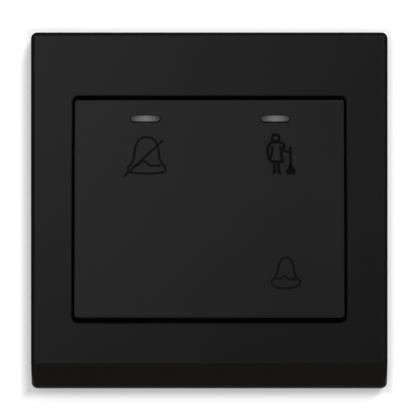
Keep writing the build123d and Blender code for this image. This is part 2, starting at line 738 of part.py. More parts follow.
def blocking_diodes():
    """Two small diodes."""
    r = DIODE_R
    half = [(0.8 * r, 0), (r, 0.2 * r)]
    outline = half + [(radius, DIODE_LENGTH - along) for radius, along in reversed(half)]
    return axial_pair(outline, DIODE_LENGTH, DIODE_LEGS, DIODE_LIFT, DIODE_Z)


def solder_joints():
    """Solder cones where leads come through the board."""
    places = [(x + d, LENS_Z) for x in LAMPS for d in (-LAMP_LEGS, LAMP_LEGS)]
    for x in (-PART_X, PART_X):
        places += [(x - RESISTOR_LEGS, RESISTOR_Z), (x + RESISTOR_LEGS, RESISTOR_Z)]
        places += [(x - DIODE_LEGS, DIODE_Z), (x + DIODE_LEGS, DIODE_Z)]
    cone = [(SOLDER_R, 0), (0.4 * SOLDER_R, SOLDER_HEIGHT)]
    return [faceted(cone, (x, BOARD_REAR, z), INTO_WALL) for x, z in places]


# Bell switch

def plunger():
    """The push rod with collar, bridge yoke and spring spigot."""
    stem = [(0, PLUNGER_FRONT), (PLUNGER_R - 0.5, PLUNGER_FRONT)]
    stem += [(PLUNGER_R, PLUNGER_FRONT + 0.5), (PLUNGER_R, COLLAR_FRONT)]
    stem += [(COLLAR_R, COLLAR_FRONT), (COLLAR_R, COLLAR_REAR), (0, COLLAR_REAR)]
    rod = turned(stem, (SWITCH_X, 0, SWITCH_Z), INTO_WALL)
    half_z = BRIDGE_HEIGHT / 2
    yoke = Rectangle(YOKE_WIDTH, 2 * (half_z + YOKE_WALL))
    rod += slab(yoke, COLLAR_REAR - 0.2, YOKE_REAR, SWITCH_X, SWITCH_Z)
    rod += slab(boss(SPIGOT_R), YOKE_REAR - 0.2, YOKE_REAR + SPIGOT_LENGTH, SWITCH_X, SWITCH_Z)
    slot = Rectangle(2 * YOKE_WIDTH, 2 * half_z + 0.1)
    rod -= slab(slot, BRIDGE_FRONT, BRIDGE_REAR, SWITCH_X, SWITCH_Z)
    return rod


def bridge_contact():
    """The moving strip that joins the two fixed contacts."""
    strip = RectangleRounded(BRIDGE_WIDTH, BRIDGE_HEIGHT, 1.2)
    bridge = slab(strip, BRIDGE_FRONT, BRIDGE_REAR, SWITCH_X, SWITCH_Z)
    for x in CONTACTS:
        hole = bore(RIVET_SHANK_R + RIVET_PLAY)
        bridge -= slab(hole, BRIDGE_FRONT - 1, BRIDGE_REAR + 1, x, SWITCH_Z)
    return bridge


def rivet(x, face, thick, turn):
    """A silver contact rivet with its domed head on one side of a strip."""
    tail = -thick - 0.6 * RIVET_HEAD
    head = [(0.5 * RIVET_R, RIVET_HEAD), (RIVET_R - 0.1, 0.75 * RIVET_HEAD)]
    head += [(RIVET_R, 0), (RIVET_SHANK_R, 0), (RIVET_SHANK_R, -thick)]
    head += [(RIVET_TAIL_R, -thick), (RIVET_TAIL_R - 0.1, tail)]
    return faceted(head, (x, face, SWITCH_Z), turn)


def bridge_rivets():
    """The two rivets of the bridge, facing into the wall."""
    return [rivet(x, BRIDGE_REAR, BRIDGE_THICK, INTO_WALL) for x in CONTACTS]


def fixed_rivets():
    """The two rivets of the fixed contacts, facing the bridge."""
    return [rivet(x, CONTACT_FRONT, CONTACT_THICK, OUT_OF_WALL) for x in CONTACTS]


def bent_strip(x, width, thick, front, top):
    """A strip that comes down and turns onto the top of a terminal block."""
    half = width / 2
    upright = block(x - half, x + half, front, front + thick, TERMINAL_TOP, top)
    end = INNER_REAR - 1.5 * thick
    foot = block(x - half, x + half, front, end, TERMINAL_TOP, TERMINAL_TOP + thick)
    strip = upright + foot
    heel = strip.edges().filter_by(Axis.X)
    corner = [e for e in heel if e.center().Y < front + 0.01 and e.center().Z < TERMINAL_TOP + 0.01]
    return fillet(corner, thick * 0.8)


def bell_contact(x):
    """A fixed contact strip with its rivet hole."""
    top = SWITCH_Z + TOWER_HALF
    strip = bent_strip(x, CONTACT_WIDTH, CONTACT_THICK, CONTACT_FRONT, top)
    hole = bore(RIVET_SHANK_R + RIVET_PLAY)
    return strip - slab(hole, CONTACT_FRONT - 1, CONTACT_REAR + 1, x, SWITCH_Z)


def feed_strip(x):
    """A feed strip from the foot of the board to its terminal."""
    return bent_strip(x, STRIP_WIDTH, STRIP_THICK, BOARD_REAR, BOARD_LOW + BOARD_HEIGHT / 8)


def return_spring():
    """The coil between the plunger and the tower."""
    length = SPRING_REAR - YOKE_REAR - 2 * WIRE_R
    steps = SPRING_TURNS * SPRING_STEPS
    section = [(WIRE_R, 0), (0, WIRE_R), (-WIRE_R, 0), (0, -WIRE_R)]
    rings = []
    for k in range(steps + 1):
        a = 2 * pi * k / SPRING_STEPS
        h = length * k / steps
        rings.append([((SPRING_R + r) * cos(a), (SPRING_R + r) * sin(a), h + rise) for r, rise in section])
    outlines = [rings[0], rings[-1]]
    for low, high in zip(rings, rings[1:]):
        for k in range(len(section)):
            following = (k + 1) % len(section)
            outlines.append([low[k], low[following], high[following]])
            outlines.append([low[k], high[following], high[k]])
    return Pos(SWITCH_X, YOKE_REAR + WIRE_R, SWITCH_Z) * INTO_WALL * closed(outlines)


# Terminals

def terminal_block(x):
    """A brass block with a wire bore across a screw hole."""
    half = TERMINAL_WIDTH / 2
    front = INNER_REAR - TERMINAL_DEPTH
    body = block(x - half, x + half, front, INNER_REAR, TERMINAL_LOW, TERMINAL_TOP)
    upright = body.edges().filter_by(Axis.Z)
    body = chamfer(upright, TERMINAL_EDGE)
    body -= Pos(x, WIRE_Y, TERMINAL_Z) * Cylinder(WIRE_BORE_R, TERMINAL_HEIGHT + 2)
    body -= slab(bore(CLAMP_R + CLAMP_PLAY), WIRE_Y, INNER_REAR + 1, x, TERMINAL_Z)
    return body


def terminal_screw(x):
    """A headless clamping screw, backed off clear of the wire bore."""
    tip = WIRE_Y + WIRE_BORE_R + 0.05
    end = tip + CLAMP_LENGTH
    outline = [(CLAMP_R - 0.4, 0), (CLAMP_R, 0.4)]
    outline += [(CLAMP_R, CLAMP_LENGTH - 0.2), (CLAMP_R - 0.2, CLAMP_LENGTH)]
    screw = faceted(outline, (x, tip, TERMINAL_Z), INTO_WALL)
    low = TERMINAL_Z - CLAMP_SLOT_HALF
    top = TERMINAL_Z + CLAMP_SLOT_HALF
    return screw - block(x - 2 * CLAMP_R, x + 2 * CLAMP_R, end - CLAMP_SLOT_DEPTH, end + 1, low, top)


def write_all():
    """Write every piece."""
    os.makedirs("parts", exist_ok=True)
    save("front_frame", front_frame())
    save("snap_hooks", snap_hooks())
    save("bell_button", bell_button())
    save("disturb_lens", lens(LAMPS[0]))
    save("service_lens", lens(LAMPS[1]))
    save("mounting_base", mounting_base())
    save("rear_housing", rear_housing())
    save("switch_cover", switch_cover())
    save("housing_screws", housing_screws())
    save("circuit_board", circuit_board())
    save("disturb_led", lamp(LAMPS[0]))
    save("service_led", lamp(LAMPS[1]))
    save("dropper_resistors", dropper_resistors())
    save("blocking_diodes", blocking_diodes())
    save("solder_joints", solder_joints())
    save("plunger", plunger())
    save("bridge_contact", bridge_contact())
    save("bridge_rivets", bridge_rivets())
    save("bell_contact_left", bell_contact(CONTACTS[0]))
    save("bell_contact_right", bell_contact(CONTACTS[1]))
    save("fixed_rivets", fixed_rivets())
    save("return_spring", return_spring())
    save("disturb_strip", feed_strip(TERMINALS[0]))
    save("lamp_common_strip", feed_strip(TERMINALS[1]))
    save("service_strip", feed_strip(TERMINALS[4]))
    save("terminal_blocks", [terminal_block(x) for x in TERMINALS])
    for number, x in enumerate(TERMINALS, start=1):
        save(f"terminal_screw_{number}", terminal_screw(x))


write_all()
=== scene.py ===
import math
import bpy
from mathutils import Color, Matrix, Vector


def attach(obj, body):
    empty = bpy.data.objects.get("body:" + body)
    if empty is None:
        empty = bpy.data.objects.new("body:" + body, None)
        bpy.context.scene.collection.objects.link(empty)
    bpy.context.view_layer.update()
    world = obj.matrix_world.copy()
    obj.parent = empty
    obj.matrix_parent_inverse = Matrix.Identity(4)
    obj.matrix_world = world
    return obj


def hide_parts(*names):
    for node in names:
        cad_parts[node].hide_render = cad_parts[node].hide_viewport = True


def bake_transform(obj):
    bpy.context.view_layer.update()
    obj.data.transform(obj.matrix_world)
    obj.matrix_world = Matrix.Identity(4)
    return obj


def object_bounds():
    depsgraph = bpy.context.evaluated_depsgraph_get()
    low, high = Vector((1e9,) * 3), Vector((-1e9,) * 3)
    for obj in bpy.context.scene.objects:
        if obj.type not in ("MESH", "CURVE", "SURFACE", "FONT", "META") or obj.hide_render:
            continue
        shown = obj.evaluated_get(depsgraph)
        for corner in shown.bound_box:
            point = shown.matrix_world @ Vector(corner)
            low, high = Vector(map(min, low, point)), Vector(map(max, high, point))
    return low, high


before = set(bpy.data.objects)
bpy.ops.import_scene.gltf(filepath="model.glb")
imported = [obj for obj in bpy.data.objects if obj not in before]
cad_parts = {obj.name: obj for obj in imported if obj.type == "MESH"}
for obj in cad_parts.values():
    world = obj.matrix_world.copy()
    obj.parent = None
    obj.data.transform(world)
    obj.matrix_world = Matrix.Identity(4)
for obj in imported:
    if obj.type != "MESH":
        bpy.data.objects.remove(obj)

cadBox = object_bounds()
print("frame loaded")


# places that several pieces share, in mm

mm = 0.001
housingRear = 24.0
terminals = {"pitch": 9.0, "middle": 3, "up": -22.8}
cornerScrews = {"across": 21.2, "up": 24.2}
lamps = {"across": 15.65, "shift": 0.25, "up": 22.1, "legs": 1.27}
board = {"front": 4.0, "rear": 5.6, "half": 18.8, "top": 26.0, "low": 7.0, "partAcross": 6.0}


def terminalAcross(number):
    return (number - terminals["middle"]) * terminals["pitch"]


def lampAcross(side):
    return lamps["shift"] + side * lamps["across"]


# small helpers

settling = {"weld": 0.0000005, "smooth": 38}


def tone(*parts):
    # a display colour, 0 to 255, as the linear colour that a shader takes
    linear = Color([part / 255 for part in parts]).from_srgb_to_scene_linear()
    return (*linear, 1.0)


def activate(*objects):
    bpy.ops.object.select_all(action="DESELECT")
    for each in objects:
        each.select_set(True)
    bpy.context.view_layer.objects.active = objects[0]


def applyPlace(piece, matrix):
    # the place goes into the mesh, and the object stays at the origin
    bpy.context.view_layer.update()
    piece.matrix_world = matrix @ piece.matrix_world
    activate(piece)
    bpy.ops.object.transform_apply()


def placed(across, depth, up, *turns):
    # first turned by degrees about each axis, then moved to a spot in mm
    matrix = Matrix.Translation((across * mm, depth * mm, up * mm))
    for angle, axis in turns:
        matrix = matrix @ Matrix.Rotation(math.radians(angle), 4, axis)
    return matrix


def facingRoom(across, depth, up):
    # a flat sheet's upper side faces the room
    return placed(across, depth, up, (90, "X"))


def facingWall(across, depth, up):
    # a flat sheet's upper side faces into the wall box and reads upright from there
    return placed(across, depth, up, (180, "Z"), (90, "X"))


def intoWall(across, depth, up):
    # steps in height run into the wall
    return placed(across, depth, up, (-90, "X"))


def joined(name, pieces):
    activate(*pieces)
    bpy.ops.object.join()
    whole = bpy.context.object
    whole.name = name
    whole.data.name = name
    return whole


def settle(piece, body, material):
    # normals outward, round sides smooth, then the finish, and the body that carries the piece
    activate(piece)
    bpy.ops.object.mode_set(mode="EDIT")
    bpy.ops.mesh.select_all(action="SELECT")
    bpy.ops.mesh.remove_doubles(threshold=settling["weld"])
    bpy.ops.mesh.normals_make_consistent(inside=False)
    bpy.ops.object.mode_set(mode="OBJECT")
    bpy.ops.object.shade_smooth_by_angle(angle=math.radians(settling["smooth"]))
    piece.data.materials.clear()
    piece.data.materials.append(material)
    if body:
        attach(piece, body)


# shader helpers

def operator(operation, swapped=False):
    # plain arithmetic between sockets and numbers
    def work(self, other=0.0):
        first, second = (other, self) if swapped else (self, other)
        return self.maths(operation, first, second)
    return work


class shaderValue:
    __add__ = operator("ADD")
    __radd__ = operator("ADD", swapped=True)
    __sub__ = operator("SUBTRACT")
    __rsub__ = operator("SUBTRACT", swapped=True)
    __mul__ = operator("MULTIPLY")
    __truediv__ = operator("DIVIDE")
    __pow__ = operator("POWER")
    __abs__ = operator("ABSOLUTE")
    floor = operator("FLOOR")
    sine = operator("SINE")
    larger = operator("MAXIMUM")

    def __init__(self, sheet, socket):
        self.sheet = sheet
        self.socket = socket

    def maths(self, operation, first, second, clamp=False):
        settings = {"operation": operation, "use_clamp": clamp}
        return self.sheet.add("ShaderNodeMath", settings, {0: first, 1: second})

    def wave(self):
        # a sine between 0 and 1
        return self.sine() * 0.5 + 0.5

    def above(self, edge, soft):
        # 0 below the edge and 1 above it, over a soft width
        return self.maths("ADD", (self - edge) / soft, 0.5, clamp=True)

    def below(self, edge, soft):
        return 1 - self.above(edge, soft)

    def near(self, middle, half, soft):
        return abs(self - middle).below(half, soft)


class nodeSheet:
    def __init__(self, owner, endKind):
        owner.use_nodes = True
        self.tree = owner.node_tree
        self.tree.nodes.clear()
        self.endKind = endKind

    def add(self, kind, settings=None, inputs=None, output=0):
        node = self.tree.nodes.new(kind)
        for key, value in (settings or {}).items():
            setattr(node, key, value)
        for key, value in (inputs or {}).items():
            if isinstance(value, shaderValue):
                self.tree.links.new(value.socket, node.inputs[key])
            else:
                node.inputs[key].default_value = value
        return shaderValue(self, node.outputs[output])

    def axes(self, vector):
        split = self.add("ShaderNodeSeparateXYZ", inputs={0: vector})
        return [shaderValue(self, each) for each in split.socket.node.outputs]

    def rays(self):
        # 1 for the rays that look from the camera, from a glossy face and through glass
        outputs = self.add("ShaderNodeLightPath").socket.node.outputs
        kinds = ("Camera", "Glossy", "Transmission")
        return [shaderValue(self, outputs[f"Is {kind} Ray"]) for kind in kinds]

    def mixed(self, mask, first, second):
        return self.add("ShaderNodeMix", None, {0: mask, 2: first, 3: second})

    def blend(self, mask, first, second):
        # a colour of three numbers is a display colour; 6, 7 and 2 are the node's colour sockets
        colours = {0: mask}
        for socket, colour in ((6, first), (7, second)):
            display = isinstance(colour, tuple) and len(colour) == 3
            colours[socket] = tone(*colour) if display else colour
        return self.add("ShaderNodeMix", {"data_type": "RGBA"}, colours, 2)

    def painted(self, colour, mask, paint):
        # paint is the share that covers, and its display colour
        share, over = paint
        return self.blend(mask * share, colour, over)

    def finish(self, shader):
        end = self.tree.nodes.new(self.endKind)
        self.tree.links.new(shader.socket, end.inputs["Surface"])


class materialSheet(nodeSheet):
    def __init__(self, name):
        self.material = bpy.data.materials.new(name)
        super().__init__(self.material, "ShaderNodeOutputMaterial")
        metres = self.add("ShaderNodeTexCoord", output="Object")
        settings = {"operation": "SCALE"}
        self.spot = self.add("ShaderNodeVectorMath", settings, {0: metres, "Scale": 1 / mm})
        self.x, self.y, self.z = self.axes(self.spot)

    def outward(self):
        # how far out from the middle of the plate, to the sides or up and down
        return abs(self.x).larger(abs(self.z))

    def distance(self, across, up):
        return ((self.x - across) ** 2 + (self.z - up) ** 2) ** 0.5

    def stretched(self, scale):
        return self.add("ShaderNodeMapping", inputs={"Vector": self.spot, "Scale": scale})

    def noise(self, size, detail=2.0, vector=None):
        # size is the width of one blotch in mm
        inputs = {"Vector": vector or self.spot, "Scale": 1 / size, "Detail": detail}
        return self.add("ShaderNodeTexNoise", inputs=inputs)

    def surface(self, colour, roughness, height, metallic=0.0, shine=0.5, **constants):
        # height is in mm
        relief = {"Strength": 1.0, "Distance": mm, "Height": height}
        inputs = {
            "Base Color": colour,
            "Roughness": roughness,
            "Metallic": metallic,
            "Specular IOR Level": shine,
            "Normal": self.add("ShaderNodeBump", inputs=relief),
        }
        for key, value in constants.items():
            inputs[key.replace("_", " ")] = value
        self.finish(self.add("ShaderNodeBsdfPrincipled", inputs=inputs))
        return self.material


def dress(material, *nodes):
    for name in nodes:
        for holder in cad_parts[name].material_slots:
            holder.link = "OBJECT"
            holder.material = material


# camera: head on, so that the plate is as wide as in the photograph

view = {
    "lens": 200.0, "film": 36.0, "plateWidth": 0.086, "platePixels": 358.0,
    "imagePixels": 420.0, "middle": (0.00017, 0.00018), "nearest": 0.01,
    "farthest": 20.0,
}


def makeCamera():
    front = cadBox[0].y
    shown = view["plateWidth"] * view["imagePixels"] / view["platePixels"]
    distance = shown * view["lens"] / view["film"]
    x, z = view["middle"]
    place = (x, front - distance, z)
    bpy.ops.object.camera_add(location=place, rotation=(math.radians(90), 0, 0))
    camera = bpy.context.object
    camera.name = "photoCamera"
    camera.data.lens = view["lens"]
    camera.data.clip_start = view["nearest"]
    camera.data.clip_end = view["farthest"]
    bpy.context.scene.camera = camera


makeCamera()
print("camera placed")


# studio: a white wall behind the plate, soft lamps in front and behind

studio = {
    "wallSide": 3.0, "wallPlace": -0.25, "wallWhite": 0.86, "wallGlow": 0.31,
    "halo": (45.1, 2.0), "haloRise": 0.35, "boxMouth": (38.0, 0.5),
    "boxShadeTone": (24, 24, 24), "roomGrey": 0.30, "roomShine": 0.03,
    "shineFade": (-0.16, 1.52),
    "lamps": {  # place and size in metres, and watts
        "frontRight": ((0.42, -0.72, 0.66), 0.40, 5.6),
        "frontLeft": ((-0.24, -0.955, 0.15), 0.38, 1.05),
        "backLeft": ((-0.60, 0.70, 0.45), 0.60, 5.0),
        "backRight": ((0.65, 0.60, 0.10), 0.60, 2.6),
    },
}


def makeWall():
    bpy.ops.mesh.primitive_plane_add(size=studio["wallSide"])
    wall = bpy.context.object
    wall.name = "wall"
    applyPlace(wall, facingRoom(0, studio["wallPlace"], 0))
    sheet = materialSheet("wallPaint")
    white = studio["wallWhite"]
    outward = sheet.outward()
    beside = outward.above(*studio["boxMouth"])  # painted shade: the wall box is a dark square without glow
    colour = sheet.blend(beside, studio["boxShadeTone"], (white, white, white, 1))
    paint = sheet.add("ShaderNodeBsdfDiffuse", inputs={"Color": colour})
    camera, glossy, through = sheet.rays()
    seen = camera.larger(glossy).larger(through)
    # painted shadow: the glow is lower in a soft band round the plate's edge
    level = outward.above(*studio["halo"]) * studio["haloRise"] + studio["wallGlow"]
    glow = sheet.add("ShaderNodeEmission", inputs={"Strength": seen * beside * level})
    front = sheet.add("ShaderNodeAddShader", inputs={0: paint, 1: glow})
    clear = sheet.add("ShaderNodeBsdfTransparent")
    behind = sheet.add("ShaderNodeNewGeometry", output="Backfacing")
    sheet.finish(sheet.add("ShaderNodeMixShader", inputs={0: behind, 1: front, 2: clear}))
    wall.data.materials.append(sheet.material)


def makeLamps():
    for name, (place, size, power) in studio["lamps"].items():
        aim = (-Vector(place)).to_track_quat("-Z", "Y").to_euler()
        bpy.ops.object.light_add(type="AREA", location=place, rotation=aim)
        lamp = bpy.context.object
        lamp.name = name
        lamp.data.size = size
        lamp.data.energy = power


def makeRoom():
    # white to the eye, and a soft grey light on the object
    world = bpy.data.worlds.new("room")
    bpy.context.scene.world = world
    sheet = nodeSheet(world, "ShaderNodeOutputWorld")
    camera, glossy, through = sheet.rays()
    depth = sheet.axes(sheet.add("ShaderNodeTexCoord", output="Generated"))[1]
    # darker where the photographer stands
    shine = sheet.mixed(depth.above(*studio["shineFade"]), studio["roomShine"], 1.0)
    level = sheet.mixed(glossy, studio["roomGrey"], shine)
    strength = sheet.mixed(camera.larger(through), level, 1.0)
    inputs = {"Color": (1, 1, 1, 1), "Strength": strength}
    sheet.finish(sheet.add("ShaderNodeBackground", inputs=inputs))


makeWall()
makeLamps()
makeRoom()
bpy.context.scene.view_settings.view_transform = "Standard"
print("studio made")


# moulded plastics; a mask is an edge and its soft width, a paint is a share and a tone,
# cloud and grain are a size and a depth in mm

mould = {
    "cloud": (0.5, 0.4), "cloudRough": 0.06, "cloudDetail": 3.0, "speckSize": 0.4,
    "specks": (0.62, 0.1), "ring": (0.06, 0.05), "ringDepth": 0.03,
}


def uneven(look, noise):
    # a middle roughness, and how far the noise moves it
    middle, spread = look["rough"]
    return middle + (noise - 0.5) * spread


def mouldedSkin(name, look):
    # colour cloud, spark-eroded grain and a little unevenness in the gloss
    sheet = materialSheet(name)
    (cloudSize, cloudDepth), (grainSize, grainDepth) = look["cloud"], look["grain"]
    cloud = sheet.noise(cloudSize, mould["cloudDetail"])
    grain = sheet.noise(grainSize)
    specks = sheet.noise(grainSize * mould["speckSize"], 0.0).above(*mould["specks"])
    colour = sheet.blend(cloud.above(*mould["cloud"]), *look["tones"])
    colour = sheet.painted(colour, specks, look["specks"])
    roughness = uneven(look, grain) + (cloud - 0.5) * mould["cloudRough"]
    return sheet, colour, roughness, grain * grainDepth + cloud * cloudDepth


def pinMarks(sheet, look, colour, height, where=1.0):
    # faint rings left by the pins of the mould
    rings = 0.0
    for across, up in look["pins"]:
        rings = sheet.distance(across, up).near(look["pinRadius"], *mould["ring"]) + rings
    rings = rings * where
    return sheet.painted(colour, rings, look["pinPaint"]), height - rings * mould["ringDepth"]


frameLook = {
    "tones": ((17, 17, 18), (20, 20, 21)), "cloud": (26.0, 0.010),
    "grain": (0.14, 0.004), "specks": (0.35, (36, 36, 37)),
    "rough": (0.37, 0.10), "shine": 0.26, "chinTop": (-36.75, 0.15),
    "chinRear": (-5.9, 0.3), "chinPaint": (0.85, (23, 20, 16)),
    "chinRough": 0.30, "edge": (42.0, 0.6), "edgeRough": 0.16,
    "rim": (42.14, 0.4), "rimRear": (-7.0, 0.5), "rimShadeTone": (2, 2, 2),
    "rimRough": 0.5, "flatter": (0.8, 0.6),
}


def frameFinish():
    # browner and smoother on the sloping chin, rubbed at the edges, with painted shade on the
    # outer rim
    look = frameLook
    sheet, colour, roughness, height = mouldedSkin("framePlastic", look)
    outward = sheet.outward()
    chin = sheet.z.below(*look["chinTop"]) * sheet.y.below(*look["chinRear"])
    edge = outward.above(*look["edge"])
    rim = outward.above(*look["rim"]) * sheet.y.below(*look["rimRear"])
    colour = sheet.painted(colour, chin, look["chinPaint"])
    # painted shade: the outer rim is darkened
    colour = sheet.blend(rim, colour, look["rimShadeTone"])
    roughness = roughness * (1 - chin) + chin * look["chinRough"]
    roughness = roughness + edge * look["edgeRough"] + rim * look["rimRough"]
    onChin, onEdge = look["flatter"]
    height = height * (1 - chin * onChin) * (1 - edge * onEdge)
    return sheet.surface(colour, roughness, height, shine=look["shine"])


buttonLook = {
    "tones": ((23, 23, 24), (26, 26, 27)), "cloud": (22.0, 0.008),
    "grain": (0.12, 0.0035), "specks": (0.35, (40, 40, 41)),
    "rough": (0.38, 0.10), "shine": 0.26, "touch": (18.4, -14.8),
    "touchReach": (5.5, 11.0), "touchSize": 3.5, "touchShine": 0.07,
    "hookTop": (-25.9, 0.1), "hookFront": (-6.6, 0.2), "hookShadeTone": (6, 6, 7),
    "hookRough": 0.5,
}


def buttonFinish():
    # a little polish where fingers press, and painted shade on the duller hooks seen in the lower
    # gap
    look = buttonLook
    sheet, colour, roughness, height = mouldedSkin("buttonPlastic", look)
    touched = sheet.distance(*look["touch"]).below(*look["touchReach"])
    roughness = roughness - touched * sheet.noise(look["touchSize"]) * look["touchShine"]
    # painted shade on the hooks deep in the lower gap
    hooks = sheet.z.below(*look["hookTop"]) * sheet.y.above(*look["hookFront"])
    colour = sheet.blend(hooks, colour, look["hookShadeTone"])
    roughness = roughness + hooks * look["hookRough"]
    return sheet.surface(colour, roughness, height, shine=look["shine"])


clipLook = {
    "tones": ((22, 22, 23), (28, 28, 29)), "cloud": (3.0, 0.004),
    "grain": (0.2, 0.003), "specks": (0.2, (50, 50, 50)), "rough": (0.36, 0.12),
    "shine": 0.4,
}


def clipFinish():
    sheet, *skin = mouldedSkin("clipPlastic", clipLook)
    return sheet.surface(*skin, shine=clipLook["shine"])


lensLook = {
    "tones": ((126, 127, 127), (36, 37, 38)), "size": (3.5, 0.75),
    "power": (1.35, 2.0), "edgeShare": 0.32, "fade": (0.5, 1.0),
    "cloud": (1.4, 0.05), "frostSize": 0.10, "frostDepth": 0.004,
    "rough": (0.38, 0.2), "shine": 0.4, "coat": 0.15,
}


def lensFinish():
    # painted glow: bright in the middle of each window and dim towards its ends and edges
    look = lensLook
    sheet = materialSheet("lensPlastic")
    along = abs(abs(sheet.x - lamps["shift"]) - lamps["across"]) / look["size"][0]
    over = abs(sheet.z - lamps["up"]) / look["size"][1]
    frost = sheet.noise(look["frostSize"])
    cloudSize, cloudShare = look["cloud"]
    endPower, edgePower = look["power"]
    fade = along ** endPower + over ** edgePower * look["edgeShare"]
    fade = fade + (sheet.noise(cloudSize) - 0.5) * cloudShare
    colour = sheet.blend(fade.above(*look["fade"]), *look["tones"])
    return sheet.surface(colour, uneven(look, frost), frost * look["frostDepth"],
                         shine=look["shine"], Coat_Weight=look["coat"])


baseLook = {
    "tones": ((27, 27, 29), (33, 33, 35)), "cloud": (12.0, 0.012),
    "grain": (0.25, 0.006), "specks": (0.3, (52, 53, 55)),
    "rough": (0.50, 0.16),
    "pins": [(x, z) for x in (-34.0, 34.0) for z in (-34.0, 0.0, 34.0)],
    "pinRadius": 1.6, "pinPaint": (0.5, (16, 16, 17)), "flowNoise": (2.2, 3.0),
    "flowStretch": (0.3, 1.0, 2.4), "flow": (0.6, 0.2),
    "flowPaint": (0.25, (42, 42, 44)), "front": (-1.85, 0.1),
    "frontShadeTone": (8, 8, 9), "frontRough": 0.4,
}


def baseFinish():
    look = baseLook
    sheet, colour, roughness, height = mouldedSkin("basePlastic", look)
    colour, height = pinMarks(sheet, look, colour, height)
    flow = sheet.noise(*look["flowNoise"], sheet.stretched(look["flowStretch"]))
    colour = sheet.painted(colour, flow.above(*look["flow"]), look["flowPaint"])
    front = sheet.y.below(*look["front"])  # duller, and with painted shade, behind the frame
    colour = sheet.blend(front, colour, look["frontShadeTone"])
    return sheet.surface(colour, roughness + front * look["frontRough"], height)


housingLook = {
    "tones": ((188, 188, 184), (202, 202, 198)), "cloud": (16.0, 0.02),
    "grain": (0.3, 0.006), "specks": (0.25, (168, 167, 162)),
    "rough": (0.46, 0.14), "rearWall": (housingRear - 0.6, 0.2),
    "pins": [(-20.0, 22.0), (20.0, 22.0), (-20.0, 4.0), (20.0, 4.0), (0.0, -10.0)],
    "pinRadius": 1.5, "pinPaint": (0.4, (140, 139, 134)),
    "gatePlace": (0.0, 12.0), "gate": (0.75, 0.1),
    "gatePaint": (0.6, (160, 159, 152)), "gateRough": 0.2,
    "gateGrain": (0.3, 0.08), "flowRate": 0.9, "flowDrift": (6.0, 5.0),
    "flow": (0.6, 0.8), "flowPaint": (0.16, (212, 212, 209)),
    "lip": (-0.2, 0.25, 0.2), "lipPaint": (0.3, (170, 169, 164)),
}


def housingFinish():
    # the plastic ran out in rings from the gate in the rear wall
    look = housingLook
    sheet, colour, roughness, height = mouldedSkin("housingPlastic", look)
    back = sheet.y.above(*look["rearWall"])
    fromGate = sheet.distance(*look["gatePlace"])
    gate = fromGate.below(*look["gate"]) * back
    driftSize, drift = look["flowDrift"]
    flow = fromGate * look["flowRate"] + sheet.noise(driftSize) * drift
    flow = (flow.sine() * back).above(*look["flow"])
    colour = sheet.painted(colour, flow, look["flowPaint"])
    colour, height = pinMarks(sheet, look, colour, height, back)
    colour = sheet.painted(colour, gate, look["gatePaint"])
    colour = sheet.painted(colour, sheet.y.near(*look["lip"]), look["lipPaint"])
    grainSize, grainDepth = look["gateGrain"]
    height = height + gate * sheet.noise(grainSize) * grainDepth
    return sheet.surface(colour, roughness + gate * look["gateRough"], height)


coverLook = {
    "tones": ((176, 176, 173), (189, 189, 186)), "cloud": (10.0, 0.015),
    "grain": (0.22, 0.006), "specks": (0.25, (156, 155, 151)),
    "rough": (0.45, 0.14),
    "pins": [(-14.0, -2.0), (16.0, 2.0), (0.0, 14.0), (-14.0, -20.0), (14.0, -20.0)],
    "pinRadius": 1.2, "pinPaint": (0.45, (128, 127, 123)),
}


def coverFinish():
    sheet, colour, roughness, height = mouldedSkin("coverPlastic", coverLook)
    colour, height = pinMarks(sheet, coverLook, colour, height)
    return sheet.surface(colour, roughness, height)


plungerLook = {
    "tones": ((214, 211, 202), (226, 224, 216)), "cloud": (2.4, 0.004),
    "grain": (0.18, 0.003), "specks": (0.2, (196, 192, 180)),
    "rough": (0.34, 0.12), "tip": (-3.1, 0.4), "wearSize": 0.8,
    "wear": (0.4, 0.3), "wearPaint": (0.5, (150, 148, 142)), "wearShine": 0.12,
    "lines": (9.0, 0.002), "milky": (0.12, 0.0012),
}


def plungerFinish():
    # worn at the tip, with fine lines across its travel
    look = plungerLook
    sheet, colour, roughness, height = mouldedSkin("plungerPlastic", look)
    worn = sheet.y.below(*look["tip"]) * sheet.noise(look["wearSize"]).above(*look["wear"])
    colour = sheet.painted(colour, worn, look["wearPaint"])
    rate, depth = look["lines"]
    height = height + (sheet.y * rate).wave() * depth
    share, reach = look["milky"]
    return sheet.surface(colour, roughness - worn * look["wearShine"], height,
                         Subsurface_Weight=share, Subsurface_Scale=reach)


# metals, inks and prints; a noise is a blotch size and its detail

screwLook = {
    "tones": ((196, 198, 200), (216, 216, 212)), "plating": (0.7, 3.0),
    "mask": (0.5, 0.4), "spots": (0.25, 1.0), "spotMask": (0.66, 0.1),
    "spotPaint": (0.35, (150, 148, 142)), "terminalSide": (16.0, 1.0),
    "turnRate": 42.0, "turning": (0.05, 0.004), "rough": (0.26, 0.16),
    "depth": 0.006,
}


